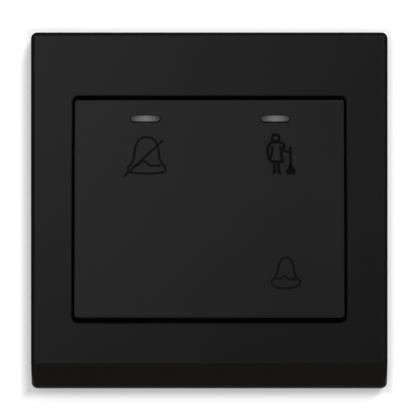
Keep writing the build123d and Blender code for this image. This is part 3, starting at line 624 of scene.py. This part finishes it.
def screwFinish():
    # zinc plate over turned heads, with circles round each axis
    look = screwLook
    sheet = materialSheet("screwSteel")
    across = abs(sheet.x) - cornerScrews["across"]
    up = abs(sheet.z) - cornerScrews["up"]
    corner = (across ** 2 + up ** 2) ** 0.5
    steps = sheet.x / terminals["pitch"]
    inPitch = (steps - (steps + 0.5).floor()) * terminals["pitch"]
    clamp = (inPitch ** 2 + (sheet.z - terminals["up"]) ** 2) ** 0.5
    rear = sheet.y.above(*look["terminalSide"])
    radius = corner * (1 - rear) + clamp * rear
    turning = (radius * look["turnRate"]).wave()
    plating = sheet.noise(*look["plating"])
    spots = sheet.noise(*look["spots"]).above(*look["spotMask"])
    colour = sheet.blend(plating.above(*look["mask"]), *look["tones"])
    colour = sheet.painted(colour, spots, look["spotPaint"])
    turnRough, turnDepth = look["turning"]
    height = turning * turnDepth + plating * look["depth"]
    return sheet.surface(colour, uneven(look, plating) + turning * turnRough, height, 1.0)


inkLook = {
    "grain": (0.08, 1.0), "cloud": (0.7, 3.0), "mask": (0.55, 0.3),
    "share": 0.5, "rough": (0.6, 0.2), "depth": 0.004, "shine": 0.1,
}

grainLooks = {
    "springSteel": {
        "grain": (0.12, 2.0), "stretch": (1.0, 0.35, 1.0), "cloud": (1.2, 2.0),
        "mask": (0.5, 0.5), "tones": ((168, 169, 172), (190, 190, 188)),
        "rough": (0.24, 0.16), "depth": 0.003,
    },
    "contactBrass": {  # rolled strip, with the rolling lines along its length
        "grain": (0.16, 3.0), "stretch": (1.0, 1.0, 0.08), "cloud": (2.6, 4.0),
        "mask": (0.52, 0.3), "tones": ((214, 178, 104), (188, 146, 78)),
        "streaks": (0.6, 0.2), "streakPaint": (0.3, (228, 200, 136)),
        "rough": (0.28, 0.12), "cloudRough": 0.2, "depth": 0.004,
    },
    "contactSilver": {
        "grain": (0.22, 3.0), "cloud": (0.9, 2.0), "mask": (0.5, 0.4),
        "tones": ((226, 226, 224), (200, 198, 192)), "rough": (0.22, 0.2), "depth": 0.006,
    },
    "maskedCopper": {
        "grain": (2.0, 2.0), "mask": (0.5, 0.5), "tones": ((46, 138, 84), (56, 150, 94)),
        "rough": (0.28, 0.1), "depth": 0.006,
    },
    "whitePrint": {
        "grain": (0.3, 2.0), "mask": (0.6, 0.2), "share": 0.4,
        "tones": ((226, 228, 222), (150, 180, 158)), "rough": (0.6, 0.2), "depth": 0.004,
    },
    "greyInk": {**inkLook, "tones": ((10, 12, 12), (18, 19, 19))},
    "blackInk": {**inkLook, "tones": ((3, 4, 4), (9, 10, 10))},
}


def grainFinish(name, metallic=0.0):
    # two tones in clouds under a fine grain that may run in one direction
    look = grainLooks[name]
    sheet = materialSheet(name)
    stretch = sheet.stretched(look["stretch"]) if "stretch" in look else None
    grain = sheet.noise(*look["grain"], stretch)
    cloud = sheet.noise(*look.get("cloud", look["grain"]))
    colour = sheet.blend(cloud.above(*look["mask"]) * look.get("share", 1.0), *look["tones"])
    if "streaks" in look:
        colour = sheet.painted(colour, grain.above(*look["streaks"]), look["streakPaint"])
    roughness = uneven(look, grain) + (cloud - 0.5) * look.get("cloudRough", 0.0)
    shine = look.get("shine", 0.5)
    return sheet.surface(colour, roughness, grain * look["depth"], metallic, shine)


blockLook = {
    "tones": ((220, 186, 114), (194, 152, 84)), "tarnish": (1.8, 4.0),
    "mask": (0.5, 0.35), "cutRate": 26.0, "cutDrift": (2.0, 3.0), "cutting": (0.08, 0.003),
    "rough": (0.25, 0.18), "depth": 0.006,
}


def blockFinish():
    # milled brass with cut lines across each face
    look = blockLook
    sheet = materialSheet("terminalBrass")
    driftSize, drift = look["cutDrift"]
    cut = (sheet.z * look["cutRate"] + sheet.noise(driftSize) * drift).wave()
    tarnish = sheet.noise(*look["tarnish"])
    colour = sheet.blend(tarnish.above(*look["mask"]), *look["tones"])
    cutRough, cutDepth = look["cutting"]
    height = cut * cutDepth + tarnish * look["depth"]
    return sheet.surface(colour, uneven(look, tarnish) + cut * cutRough, height, 1.0)


solderLook = {
    "bright": (206, 208, 210), "ripple": (0.3, 3.0), "boardSide": (5.85, 0.2),
    "flux": (0.6, 2.0), "fluxMask": (0.45, 0.2),
    "fluxPaint": (0.6, (140, 116, 70)), "fluxDull": 0.7,
    "rough": (0.2, 0.16, 0.2), "depth": 0.012,
    "outline": [
        (0.85, 0.0), (0.7, 0.06), (0.54, 0.2), (0.42, 0.4),
        (0.34, 0.62), (0.27, 0.72), (0.26, 0.88), (0.16, 0.9),
    ],
    "sides": 20,
}


def solderFinish():
    # bright cones with brown flux left on the board side
    look = solderLook
    sheet = materialSheet("solder")
    ripple = sheet.noise(*look["ripple"])
    flux = sheet.noise(*look["flux"]).above(*look["fluxMask"])
    flux = sheet.y.below(*look["boardSide"]) * flux
    colour = sheet.painted(look["bright"], flux, look["fluxPaint"])
    rough, byRipple, byFlux = look["rough"]
    roughness = rough + ripple * byRipple + flux * byFlux
    return sheet.surface(colour, roughness, ripple * look["depth"], 1 - flux * look["fluxDull"])


# electrical parts

boardLook = {
    "tones": ((22, 92, 56), (28, 106, 64)), "cloud": (5.0, 3.0),
    "mask": (0.5, 0.4), "weaveRate": 11.0, "weave": (0.5, 0.5),
    "weavePaint": (0.15, (44, 124, 78)), "weaveDepth": 0.003,
    "sawn": (0.12, 0.05), "sawnTone": (176, 168, 112), "sawnRough": 0.4,
    "rough": (0.3, 0.1),
}


def boardFinish():
    # green solder mask over glass weave, bare laminate at the sawn edges
    look = boardLook
    sheet = materialSheet("boardLaminate")
    weave = (sheet.x * look["weaveRate"]).sine() * (sheet.z * look["weaveRate"]).sine()
    cloud = sheet.noise(*look["cloud"])
    colour = sheet.blend(cloud.above(*look["mask"]), *look["tones"])
    colour = sheet.painted(colour, weave.above(*look["weave"]), look["weavePaint"])
    edge, soft = look["sawn"]
    sawn = abs(sheet.x).above(board["half"] - edge, soft)
    sawn = sawn.larger(sheet.z.above(board["top"] - edge, soft))
    sawn = sawn.larger(sheet.z.below(board["low"] + edge, soft))
    colour = sheet.blend(sawn, colour, look["sawnTone"])
    roughness = uneven(look, cloud) + sawn * look["sawnRough"]
    return sheet.surface(colour, roughness, weave * look["weaveDepth"])


lampLook = {
    "tones": ((232, 233, 230), (196, 197, 192)), "dome": (1.4, 3.0),
    "milk": (0.9, 3.0), "milkMask": (0.55, 0.3),
    "milkPaint": (0.3, (216, 218, 214)), "milkDepth": 0.004,
    "rough": (0.16, 0.08), "glass": (0.35, 1.5),
    "pieces": (("disturbLamp", "disturb_led", -1), ("serviceLamp", "service_led", 1)),
    "outline": [(1.86, 0.0), (1.9, 0.06), (1.9, 0.94), (1.84, 1.0), (1.54, 1.0), (1.5, 1.06)],
    "radius": 1.5, "shoulder": 3.5, "domeSteps": 9, "domeEnd": 88,
    "flat": ((1.7, -3.0, -1.0), (3.0, 3.0, 1.02)),
}


def epoxyFinish():
    # milky moulded epoxy, clearer towards its dome
    look = lampLook
    sheet = materialSheet("lampEpoxy")
    milk = sheet.noise(*look["milk"])
    colour = sheet.blend(sheet.y.above(*look["dome"]), *look["tones"])
    colour = sheet.painted(colour, milk.above(*look["milkMask"]), look["milkPaint"])
    share, bending = look["glass"]
    return sheet.surface(colour, uneven(look, milk), milk * look["milkDepth"],
                         Transmission_Weight=share, IOR=bending)


axialParts = {
    "mottle": (0.5, 0.5), "mottleShare": 0.4, "drip": (0.7, 1.0),
    "wireSoft": 0.03, "wireRough": 0.02, "tin": (198, 198, 196),
    "leadWidth": 0.5, "leadInside": 0.3, "bend": 0.7,
    "resistor": {
        "node": "dropper_resistors",
        "slot": "resistor_body",
        "end": [
            (0.3, 0.0), (0.66, 0.04), (0.92, 0.2), (1.12, 0.5),
            (1.15, 0.85), (1.13, 1.2), (1.0, 1.6), (0.95, 1.9),
        ],
        "half": 3.2, "legs": 4.8, "lift": 1.4, "up": 18.0,
        "grain": (0.5, 3.0),
        "tones": ((132, 176, 196), (112, 158, 180)),
        "dripShare": 0.12,
        "bands": [
            (-2.35, (150, 30, 22)), (-1.25, (38, 30, 28)), (-0.35, (38, 30, 28)),
            (0.55, (104, 58, 30)), (2.35, (104, 58, 30)),
        ],
        "band": (0.24, 0.05),
        "rough": 0.3,
        "depth": 0.01,
    },
    "diode": {
        "node": "blocking_diodes",
        "slot": "diode_body",
        "end": [(0.3, 0.0), (0.78, 0.02), (0.93, 0.08), (1.0, 0.2)],
        "half": 2.1, "legs": 3.8, "lift": 1.2, "up": 13.0,
        "grain": (0.15, 2.0),
        "tones": ((30, 30, 32), (42, 42, 44)),
        "dripShare": 0.0,
        "bands": [(1.25, (190, 191, 192))],
        "band": (0.28, 0.06),
        "rough": 0.34,
        "depth": 0.006,
    },
}


def axialFinish(kind):
    # a banded body between its ends, and tinned wire beyond them
    shared, look = axialParts, axialParts[kind]
    sheet = materialSheet(f"{kind}Body")
    along = abs(sheet.x) - board["partAcross"]
    grain = sheet.noise(*look["grain"])
    mottle = grain.above(*shared["mottle"]) * shared["mottleShare"]
    colour = sheet.blend(mottle, *look["tones"])
    edge = along + (sheet.noise(*shared["drip"]) - 0.5) * look["dripShare"]
    for middle, paint in look["bands"]:
        colour = sheet.blend(edge.near(middle, *look["band"]), colour, paint)
    wire = abs(along).above(look["half"], shared["wireSoft"])
    colour = sheet.blend(wire, colour, shared["tin"])
    roughness = look["rough"] + wire * shared["wireRough"]
    return sheet.surface(colour, roughness, grain * look["depth"] * (1 - wire), wire)


screwSteel = screwFinish()
springSteel = grainFinish("springSteel", 1.0)
contactSilver = grainFinish("contactSilver", 1.0)
contactBrass = grainFinish("contactBrass", 1.0)
solder = solderFinish()
resistorLacquer = axialFinish("resistor")
diodeBlack = axialFinish("diode")
coverGrey = coverFinish()
housingGrey = housingFinish()
epoxy = epoxyFinish()
dress(frameFinish(), "front_frame")
dress(buttonFinish(), "bell_button")
dress(clipFinish(), "snap_hooks")
dress(lensFinish(), "disturb_lens", "service_lens")
dress(baseFinish(), "mounting_base")
dress(housingGrey, "rear_housing")
dress(coverGrey, "switch_cover")
dress(plungerFinish(), "plunger")
dress(screwSteel, "housing_screws", *[f"terminal_screw_{number}" for number in range(1, 6)])
dress(springSteel, "return_spring")
dress(contactBrass, "bell_contact_left", "bell_contact_right", "bridge_contact")
dress(contactBrass, "disturb_strip", "lamp_common_strip", "service_strip")
dress(contactSilver, "bridge_rivets", "fixed_rivets")
dress(blockFinish(), "terminal_blocks")
dress(solder, "solder_joints")
dress(boardFinish(), "circuit_board")
dress(epoxy, "disturb_led", "service_led")
dress(resistorLacquer, "dropper_resistors")
dress(diodeBlack, "blocking_diodes")
print("solids dressed")


# drawn lines: printed marks, copper tracks and raised mouldings

def line(points, closed=False, soft=True):
    return points, closed, soft


def box(left, low, right, top):
    corners = [(left, low), (right, low), (right, top), (left, top)]
    return line(corners, closed=True, soft=False)


def ring(across, up, radius, corners=6):
    # a round line from a few guide points
    reach = radius / math.cos(math.pi / corners)
    angles = [2 * math.pi / corners * step for step in range(corners)]
    points = [(across + reach * math.cos(a), up + reach * math.sin(a)) for a in angles]
    return line(points, closed=True)


curveLook = {"roundness": 1, "steps": 5, "order": 3}


def drawLines(name, lines, width, height, matrix):
    # lines on a flat sheet, in mm, turned into flattened bars and set on their surface
    curve = bpy.data.curves.new(name, "CURVE")
    curve.dimensions = "3D"
    curve.bevel_depth = width * mm / 2
    curve.bevel_resolution = curveLook["roundness"]
    curve.resolution_u = curveLook["steps"]
    curve.use_fill_caps = True
    for points, closed, soft in lines:
        spline = curve.splines.new("NURBS" if soft and len(points) > 2 else "POLY")
        spline.points.add(len(points) - 1)
        for point, (across, up, *out) in zip(spline.points, points):
            point.co = (across * mm, up * mm, sum(out) * mm, 1)
        spline.use_cyclic_u = closed
        if spline.type == "NURBS":
            spline.order_u = curveLook["order"]
            spline.use_endpoint_u = not closed
    drawn = bpy.data.objects.new(name, curve)
    bpy.context.scene.collection.objects.link(drawn)
    activate(drawn)
    bpy.ops.object.convert(target="MESH")
    drawn = bpy.context.object
    drawn.scale = (1, 1, 2 * height / width)
    applyPlace(drawn, matrix)
    return drawn


pushPlate = {
    "face": -8.5,
    "pivot": (0.0, -4.6, 14.0),
    "tilt": 1.7,
    "inkHeight": 0.022,
}


def printMark(name, lines, mark, ink):
    pivot = Vector(pushPlate["pivot"]) * mm
    tilt = Matrix.Rotation(math.radians(-pushPlate["tilt"]), 4, "X")
    lean = Matrix.Translation(pivot) @ tilt @ Matrix.Translation(-pivot)
    across, up = mark["place"]
    place = lean @ facingRoom(across, pushPlate["face"], up)
    drawn = drawLines(name, lines, mark["line"], pushPlate["inkHeight"], place)
    settle(drawn, "button", ink)


bellMark = {
    "place": (18.42, -14.95),
    "line": 0.56,
    "side": [(2.7, -3.8), (3.75, -2.0), (2.1, -0.9), (1.9, 1.5), (0.95, 3.63)],
    "rim": [(-2.5, -1.5), (-1.3, -1.7), (-0.6, -0.6), (0.3, -1.2), (0.9, -1.9), (2.5, -1.45)],
}

silentMark = {
    "place": (-15.08, 12.55),
    "line": 0.58,
    "side": [(3.7, -3.72), (5.0, -2.7), (3.1, -0.8), (2.85, 2.6), (1.65, 5.07)],
    "rim": [(-3.4, -2.1), (-1.9, -1.7), (-1.0, -0.4), (0.1, -1.1), (0.9, -2.0), (3.4, -1.75)],
    "slash": [(-5.6, -4.5), (3.95, 4.3)],
}


def bellLines(mark):
    # one outline over the dome from foot to foot, and the wavy rim line inside
    left = [(-across, up) for across, up in mark["side"]]
    lines = [line(left + mark["side"][::-1], closed=True), line(mark["rim"])]
    if "slash" in mark:
        lines.append(line(mark["slash"], soft=False))
    return lines


cleanerMark = {
    "place": (17.34, 13.03),
    "line": 0.74,
    "head": (-1.37, 4.35, 0.86),
    "soft": [
        [(-1.4, 3.45), (-2.6, 3.45), (-3.3, 2.1), (-3.4, 0.5), (-2.8, -1.1)],
        [(-2.3, 2.5), (-2.1, 1.3), (-2.5, 0.1), (-2.8, -1.1)],
        [(-1.4, 3.45), (0.0, 3.45), (0.9, 2.5), (0.4, 1.6), (1.1, 1.1), (2.1, 0.9)],
        [(-0.3, 2.5), (0.1, 1.4), (-0.1, 0.3), (0.2, -0.6), (0.6, -1.2)],
        [(-2.8, -1.1), (-1.2, -1.7), (0.6, -1.2)],
        [(-1.75, -1.4), (-1.6, -3.3), (-1.65, -4.05), (-2.2, -4.05)],
        [(-0.7, -1.4), (-0.75, -3.3), (-0.7, -4.05), (0.0, -4.05)],
    ],
    "straight": [
        [(2.15, 2.2), (2.25, -2.2)],
        *[[(2.25, -2.0), (end, -4.05)] for end in (1.35, 1.85, 2.35, 2.85, 3.35)],
        [(1.35, -4.05), (3.45, -4.05)],
    ],
}


def cleanerLines(mark):
    # a plain figure with a broom: ring head, coat with two sleeves, two legs, long handle
    soft = [line(points) for points in mark["soft"]]
    return [ring(*mark["head"]), *soft] + [line(points, soft=False) for points in mark["straight"]]


greyInk = grainFinish("greyInk")
blackInk = grainFinish("blackInk")
printMark("bellMark", bellLines(bellMark), bellMark, greyInk)
printMark("silentBellMark", bellLines(silentMark), silentMark, greyInk)
printMark("cleanerMark", cleanerLines(cleanerMark), cleanerMark, blackInk)
print("marks printed")


# rear housing: numbers and raised lines beside the terminals

rearMarks = {
    "up": -16.9,
    "size": 3.4,
    "raise": 0.08,
    "smoothness": 4,
    "border": (22.4, -14.4, -19.0),
    "line": 0.4,
}


def makeRearMarks():
    digits = []
    for number in range(1, 6):
        bpy.ops.object.text_add()
        digit = bpy.context.object
        digit.data.body = str(number)
        digit.data.size = rearMarks["size"] * mm
        digit.data.align_x = "CENTER"
        digit.data.align_y = "CENTER"
        digit.data.extrude = rearMarks["raise"] * mm
        digit.data.resolution_u = rearMarks["smoothness"]
        activate(digit)
        bpy.ops.object.convert(target="MESH")
        digits.append(bpy.context.object)
        applyPlace(digits[-1], facingWall(terminalAcross(number), housingRear, rearMarks["up"]))
    settle(joined("terminalNumbers", digits), "base", greyInk)
    half, top, low = rearMarks["border"]
    lines = [box(-half, low, half, top)]
    for number in range(1, 5):
        across = terminalAcross(number + 0.5)
        lines.append(line([(across, low), (across, top)], soft=False))
    place = facingWall(0, housingRear, 0)
    drawn = drawLines("rearLines", lines, rearMarks["line"], rearMarks["raise"], place)
    settle(drawn, "base", housingGrey)


makeRearMarks()
print("rear housing marked")


# lamp board: copper tracks behind, printed outlines in front; places right of the middle

boardLines = {
    "track": (1.1, 0.04),
    "routes": [
        [(17.4, 8.6), (17.4, 20.8), (16.92, 22.1, lamps["shift"])],
        [(14.38, 22.1, lamps["shift"]), (12.6, 20.5), (10.8, 18.0)],
        [(1.2, 18.0), (1.2, 14.6), (2.2, 13.0)],
        [(9.8, 13.0), (9.8, 10.6), (8.6, 9.4)],
    ],
    "common": [(8.6, 9.4), (-8.6, 9.4), (-9.0, 8.6)],
    "print": (0.2, 0.02),
    "lampRing": 2.3,
    "outlines": {"resistor": (3.6, 1.5), "diode": (2.5, 1.3)},
}


def makeTracks():
    # the routes are drawn once and mirrored, and the lamp legs keep their shift
    look = boardLines
    tracks = []
    for side in (-1, 1):
        for route in look["routes"]:
            points = [(side * across + sum(shift), up) for across, up, *shift in route]
            tracks.append(line(points, soft=False))
    tracks.append(line(look["common"], soft=False))
    place = facingRoom(0, board["rear"], 0)
    copper = drawLines("copperTracks", tracks, *look["track"], place)
    settle(copper, "base", grainFinish("maskedCopper"))


def makeBoardPrint():
    look = boardLines
    printed = []
    for side in (-1, 1):
        printed.append(ring(lampAcross(side), lamps["up"], look["lampRing"]))
        for kind, (reach, tall) in look["outlines"].items():
            middle, up = side * board["partAcross"], axialParts[kind]["up"]
            printed.append(box(middle - reach, up - tall, middle + reach, up + tall))
    place = facingRoom(0, board["front"], 0)
    white = drawLines("boardPrint", printed, *look["print"], place)
    settle(white, "base", grainFinish("whitePrint"))


makeTracks()
makeBoardPrint()
print("board drawn")


# small parts, fully round where the solids have flat sides

def turnedPiece(name, outline, sides=36, hollow=False):
    # a disc or an open ring drawn up step by step, from radius and height pairs in mm
    radius, height = outline[0]
    fill = "NOTHING" if hollow else "NGON"
    bpy.ops.mesh.primitive_circle_add(vertices=sides, radius=radius * mm, fill_type=fill)
    piece = bpy.context.object
    piece.name = name
    applyPlace(piece, placed(0, 0, height))
    bpy.ops.object.mode_set(mode="EDIT")
    bpy.ops.mesh.select_all(action="SELECT")
    for (inner, start), (outer, end) in zip(outline, outline[1:]):
        step = {"value": (0, 0, (end - start) * mm)}
        bpy.ops.mesh.extrude_region_move(TRANSFORM_OT_translate=step)
        bpy.ops.transform.resize(value=(outer / inner, outer / inner, 1))
    bpy.ops.object.mode_set(mode="OBJECT")
    return piece


def bar(low, high):
    # a plain bar between two corners in mm, used to cut with
    middle = [(a + b) / 2 * mm for a, b in zip(low, high)]
    size = [(b - a) * mm for a, b in zip(low, high)]
    bpy.ops.mesh.primitive_cube_add(size=1, location=middle, scale=size)
    bpy.ops.object.transform_apply()
    return bpy.context.object


def drop(piece):
    activate(piece)
    bpy.ops.object.delete()


def carve(piece, cutter):
    cut = piece.modifiers.new("cut", "BOOLEAN")
    cut.operation = "DIFFERENCE"
    cut.solver = "EXACT"
    cut.object = cutter
    activate(piece)
    bpy.ops.object.modifier_apply(modifier=cut.name)
    drop(cutter)


def repeated(name, model, places):
    # one finished model, copied to each place and joined
    copies = []
    for place in places:
        activate(model)
        bpy.ops.object.duplicate()
        copies.append(bpy.context.object)
        applyPlace(copies[-1], place)
    drop(model)
    return joined(name, copies)


def replaceNode(piece, body, material, node):
    settle(piece, body, material)
    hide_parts(node)


def wound(name, radius, wire, pitch, turns, sides=4, steps=16):
    # one small section, wound up along the axis and closed at both ends
    bpy.ops.mesh.primitive_circle_add(vertices=sides, radius=wire * mm)
    coil = bpy.context.object
    coil.name = name
    applyPlace(coil, facingRoom(radius, 0, 0))
    winding = coil.modifiers.new("winding", "SCREW")
    winding.screw_offset = pitch * mm
    winding.iterations = turns
    winding.steps = steps
    bpy.ops.object.modifier_apply(modifier=winding.name)
    bpy.ops.object.mode_set(mode="EDIT")
    bpy.ops.mesh.select_all(action="SELECT")
    bpy.ops.mesh.fill_holes(sides=0)
    bpy.ops.object.mode_set(mode="OBJECT")
    return coil


def threadRidge(look):
    # thread is radius, wire, pitch and turns
    ridge = wound("ridge", *look["thread"])
    applyPlace(ridge, placed(0, 0, look["threadStart"]))
    return ridge


housingScrew = {
    "front": -2.0,
    "outline": [
        (1.74, -0.03), (1.93, 0.03), (1.93, 0.14), (1.0, 0.98),
        (0.9, 1.06), (0.9, 9.0), (0.24, 10.3),
    ],
    "recess": [
        ((-1.08, -0.22, -1.0), (1.08, 0.22, 0.62)),
        ((-0.22, -1.08, -1.0), (0.22, 1.08, 0.62)),
    ],
    "thread": (0.92, 0.12, 0.8, 9),
    "threadStart": 1.4,
}


def makeHousingScrews():
    look = housingScrew
    screw = turnedPiece("housingScrew", look["outline"])
    for cut in look["recess"]:
        carve(screw, bar(*cut))
    screw = joined("housingScrew", [screw, threadRidge(look)])
    x, z = cornerScrews["across"], cornerScrews["up"]
    places = [intoWall(across, look["front"], up) for across in (-x, x) for up in (-z, z)]
    screws = repeated("housingScrewsRound", screw, places)
    replaceNode(screws, "base", screwSteel, "housing_screws")


clampScrew = {
    "tip": 19.0,
    "outline": [(0.9, 0.0), (1.24, 0.3), (1.34, 0.44), (1.34, 4.2), (1.2, 4.39)],
    "slot": ((-3.0, -0.3, 3.5), (3.0, 0.3, 6.0)),
    "thread": (1.34, 0.1, 0.5, 6),
    "threadStart": 0.6,
}


def makeClampScrews():
    look = clampScrew
    for number in range(1, 6):
        screw = turnedPiece("screw", look["outline"])
        carve(screw, bar(*look["slot"]))
        ridge = threadRidge(look)
        carve(ridge, bar(*look["slot"]))
        screw = joined(f"clampScrew{number}", [screw, ridge])
        applyPlace(screw, intoWall(terminalAcross(number), look["tip"], terminals["up"]))
        node = f"terminal_screw_{number}"
        replaceNode(screw, node, screwSteel, node)


coilSpring = {
    "axis": (4.5, -6.0),
    "front": 8.7,
    "section": (1.9, 0.2),
    "fineness": (12, 28),
    "endPitch": 0.42,
    "windings": [(0.42, 1), (1.552, 5), (0.42, 1)],
}


def makeSpring():
    # an open coil with one closed turn at each end;
    # section is the radii of coil and wire, fineness the sides and the steps in a turn
    look = coilSpring
    x, z = look["axis"]
    rise = 0.0
    parts = []
    for pitch, turns in look["windings"]:
        part = wound("turns", *look["section"], pitch, turns, *look["fineness"])
        applyPlace(part, intoWall(x, look["front"] + rise, z))
        parts.append(part)
        rise += pitch * turns
    spring = joined("coilSpring", parts)
    replaceNode(spring, None, springSteel, "return_spring")
    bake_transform(spring)


rivetLook = {
    "across": (0.0, 9.0),
    "up": -6.0,
    "dome": [
        (0.8, 0.0), (1.5, 0.0), (1.49, 0.18), (1.38, 0.36),
        (1.14, 0.49), (0.74, 0.57), (0.2, 0.6),
    ],
    "tail": [(1.06, -0.36), (1.18, -0.3), (1.2, 0.0), (0.8, 0.0)],
    "pairs": (  # piece, node, body, face, strip thickness, direction
        ("bridgeRivetsRound", "bridge_rivets", "plunger", 6.2, 0.6, intoWall),
        ("fixedRivetsRound", "fixed_rivets", "base", 8.47, 0.8, facingRoom),
    ),
}


def makeRivets():
    look = rivetLook
    for name, node, body, face, strip, turn in look["pairs"]:
        tail = [(radius, height - strip) for radius, height in look["tail"]]
        rivet = turnedPiece("rivet", tail + look["dome"])
        rivets = repeated(name, rivet, [turn(x, face, look["up"]) for x in look["across"]])
        replaceNode(rivets, body, contactSilver, node)


def makeLampBodies():
    # a tube with a domed end, and a flange with a flat side that marks the minus leg
    look = lampLook
    outline = list(look["outline"])
    for step in range(look["domeSteps"] + 1):
        angle = math.radians(look["domeEnd"] * step / look["domeSteps"])
        height = look["shoulder"] + look["radius"] * math.sin(angle)
        outline.append((look["radius"] * math.cos(angle), height))
    for name, node, side in look["pieces"]:
        body = turnedPiece(name, outline)
        carve(body, bar(*look["flat"]))
        applyPlace(body, facingRoom(lampAcross(side), board["front"], lamps["up"]))
        replaceNode(body, "base", epoxy, node)


def makeAxialParts():
    # bodies along the board with leads bent down through it
    bend = axialParts["bend"]
    width = axialParts["leadWidth"]
    for kind, material in (("resistor", resistorLacquer), ("diode", diodeBlack)):
        look = axialParts[kind]
        lift, up, half = look["lift"], look["up"], look["half"]
        far = [(radius, 2 * half - along) for radius, along in reversed(look["end"])]
        model = turnedPiece(kind, look["end"] + far)
        places = []
        leads = []
        for x in (-board["partAcross"], board["partAcross"]):
            places.append(placed(x - half, board["front"] - lift, up, (90, "Y")))
            for side in (-1, 1):
                root = x + side * (half - axialParts["leadInside"])
                foot = x + side * look["legs"]
                leads.append(line([
                    (root, up, lift), (foot - side * bend, up, lift), (foot, up, lift),
                    (foot, up, lift - bend), (foot, up, 0.0),
                ]))
        bodies = repeated(kind, model, places)
        wires = drawLines("leads", leads, width, width / 2, facingRoom(0, board["front"], 0))
        pair = joined(f"{kind}Pair", [bodies, wires])
        replaceNode(pair, "base", material, look["node"])


def makeSolderJoints():
    # a hollow-sided cone round the clipped end of each lead
    spots = []
    for side in (-1, 1):
        for end in (-1, 1):
            spots.append((lampAcross(side) + end * lamps["legs"], lamps["up"]))
            for look in (axialParts["resistor"], axialParts["diode"]):
                spots.append((side * board["partAcross"] + end * look["legs"], look["up"]))
    model = turnedPiece("solderJoint", solderLook["outline"], sides=solderLook["sides"])
    places = [intoWall(x, board["rear"], z) for x, z in spots]
    joints = repeated("solderCones", model, places)
    replaceNode(joints, "base", solder, "solder_joints")


sleeves = {
    "driver": [
        (2.1, -1.5), (2.1, -0.2), (2.3, 0.04), (2.6, 0.05),
        (2.72, -0.04), (2.4, -0.1), (2.4, -1.5), (2.1, -1.5),
    ],
    "wire": [
        (2.2, -1.5), (2.2, -0.45), (2.55, 0.03), (2.75, 0.04),
        (2.85, -0.04), (2.5, -0.1), (2.5, -1.5), (2.2, -1.5),
    ],
    "shroud": [
        (2.0, -5.1), (2.0, -0.12), (2.1, 0.0), (2.7, 0.0), (2.82, -0.12),
        (2.82, -1.95), (3.0, -2.2), (2.6, -2.3), (2.6, -5.1), (2.0, -5.1),
    ],
    "entry": (17.2, -28.0),
    "shroudFront": -3.2,
    "sides": {"driver": 36, "wire": 36, "shroud": 48},
}


def makeSleeves():
    # round lead-ins in the rear and the foot of the housing, and round shrouds on the cover
    look = sleeves
    spots = [terminalAcross(number) for number in range(1, 6)]
    drivers = [intoWall(x, housingRear, terminals["up"]) for x in spots]
    wires = [placed(x, *look["entry"], (180, "X")) for x in spots]
    shrouds = [facingRoom(lampAcross(side), look["shroudFront"], lamps["up"]) for side in (-1, 1)]
    rows = (
        ("driverGuides", "driver", drivers, housingGrey, "housing_plastic"),
        ("wireFunnels", "wire", wires, housingGrey, "housing_plastic"),
        ("lampShrouds", "shroud", shrouds, coverGrey, "cover_plastic"),
    )
    for name, kind, places, material, slot in rows:
        model = turnedPiece(kind, look[kind], look["sides"][kind], hollow=True)
        settle(repeated(name, model, places), "base", material)


makeHousingScrews()
makeClampScrews()
makeSpring()
makeRivets()
print("screws, spring and rivets made")
makeLampBodies()
makeAxialParts()
makeSolderJoints()
makeSleeves()
print("board parts and sleeves made")
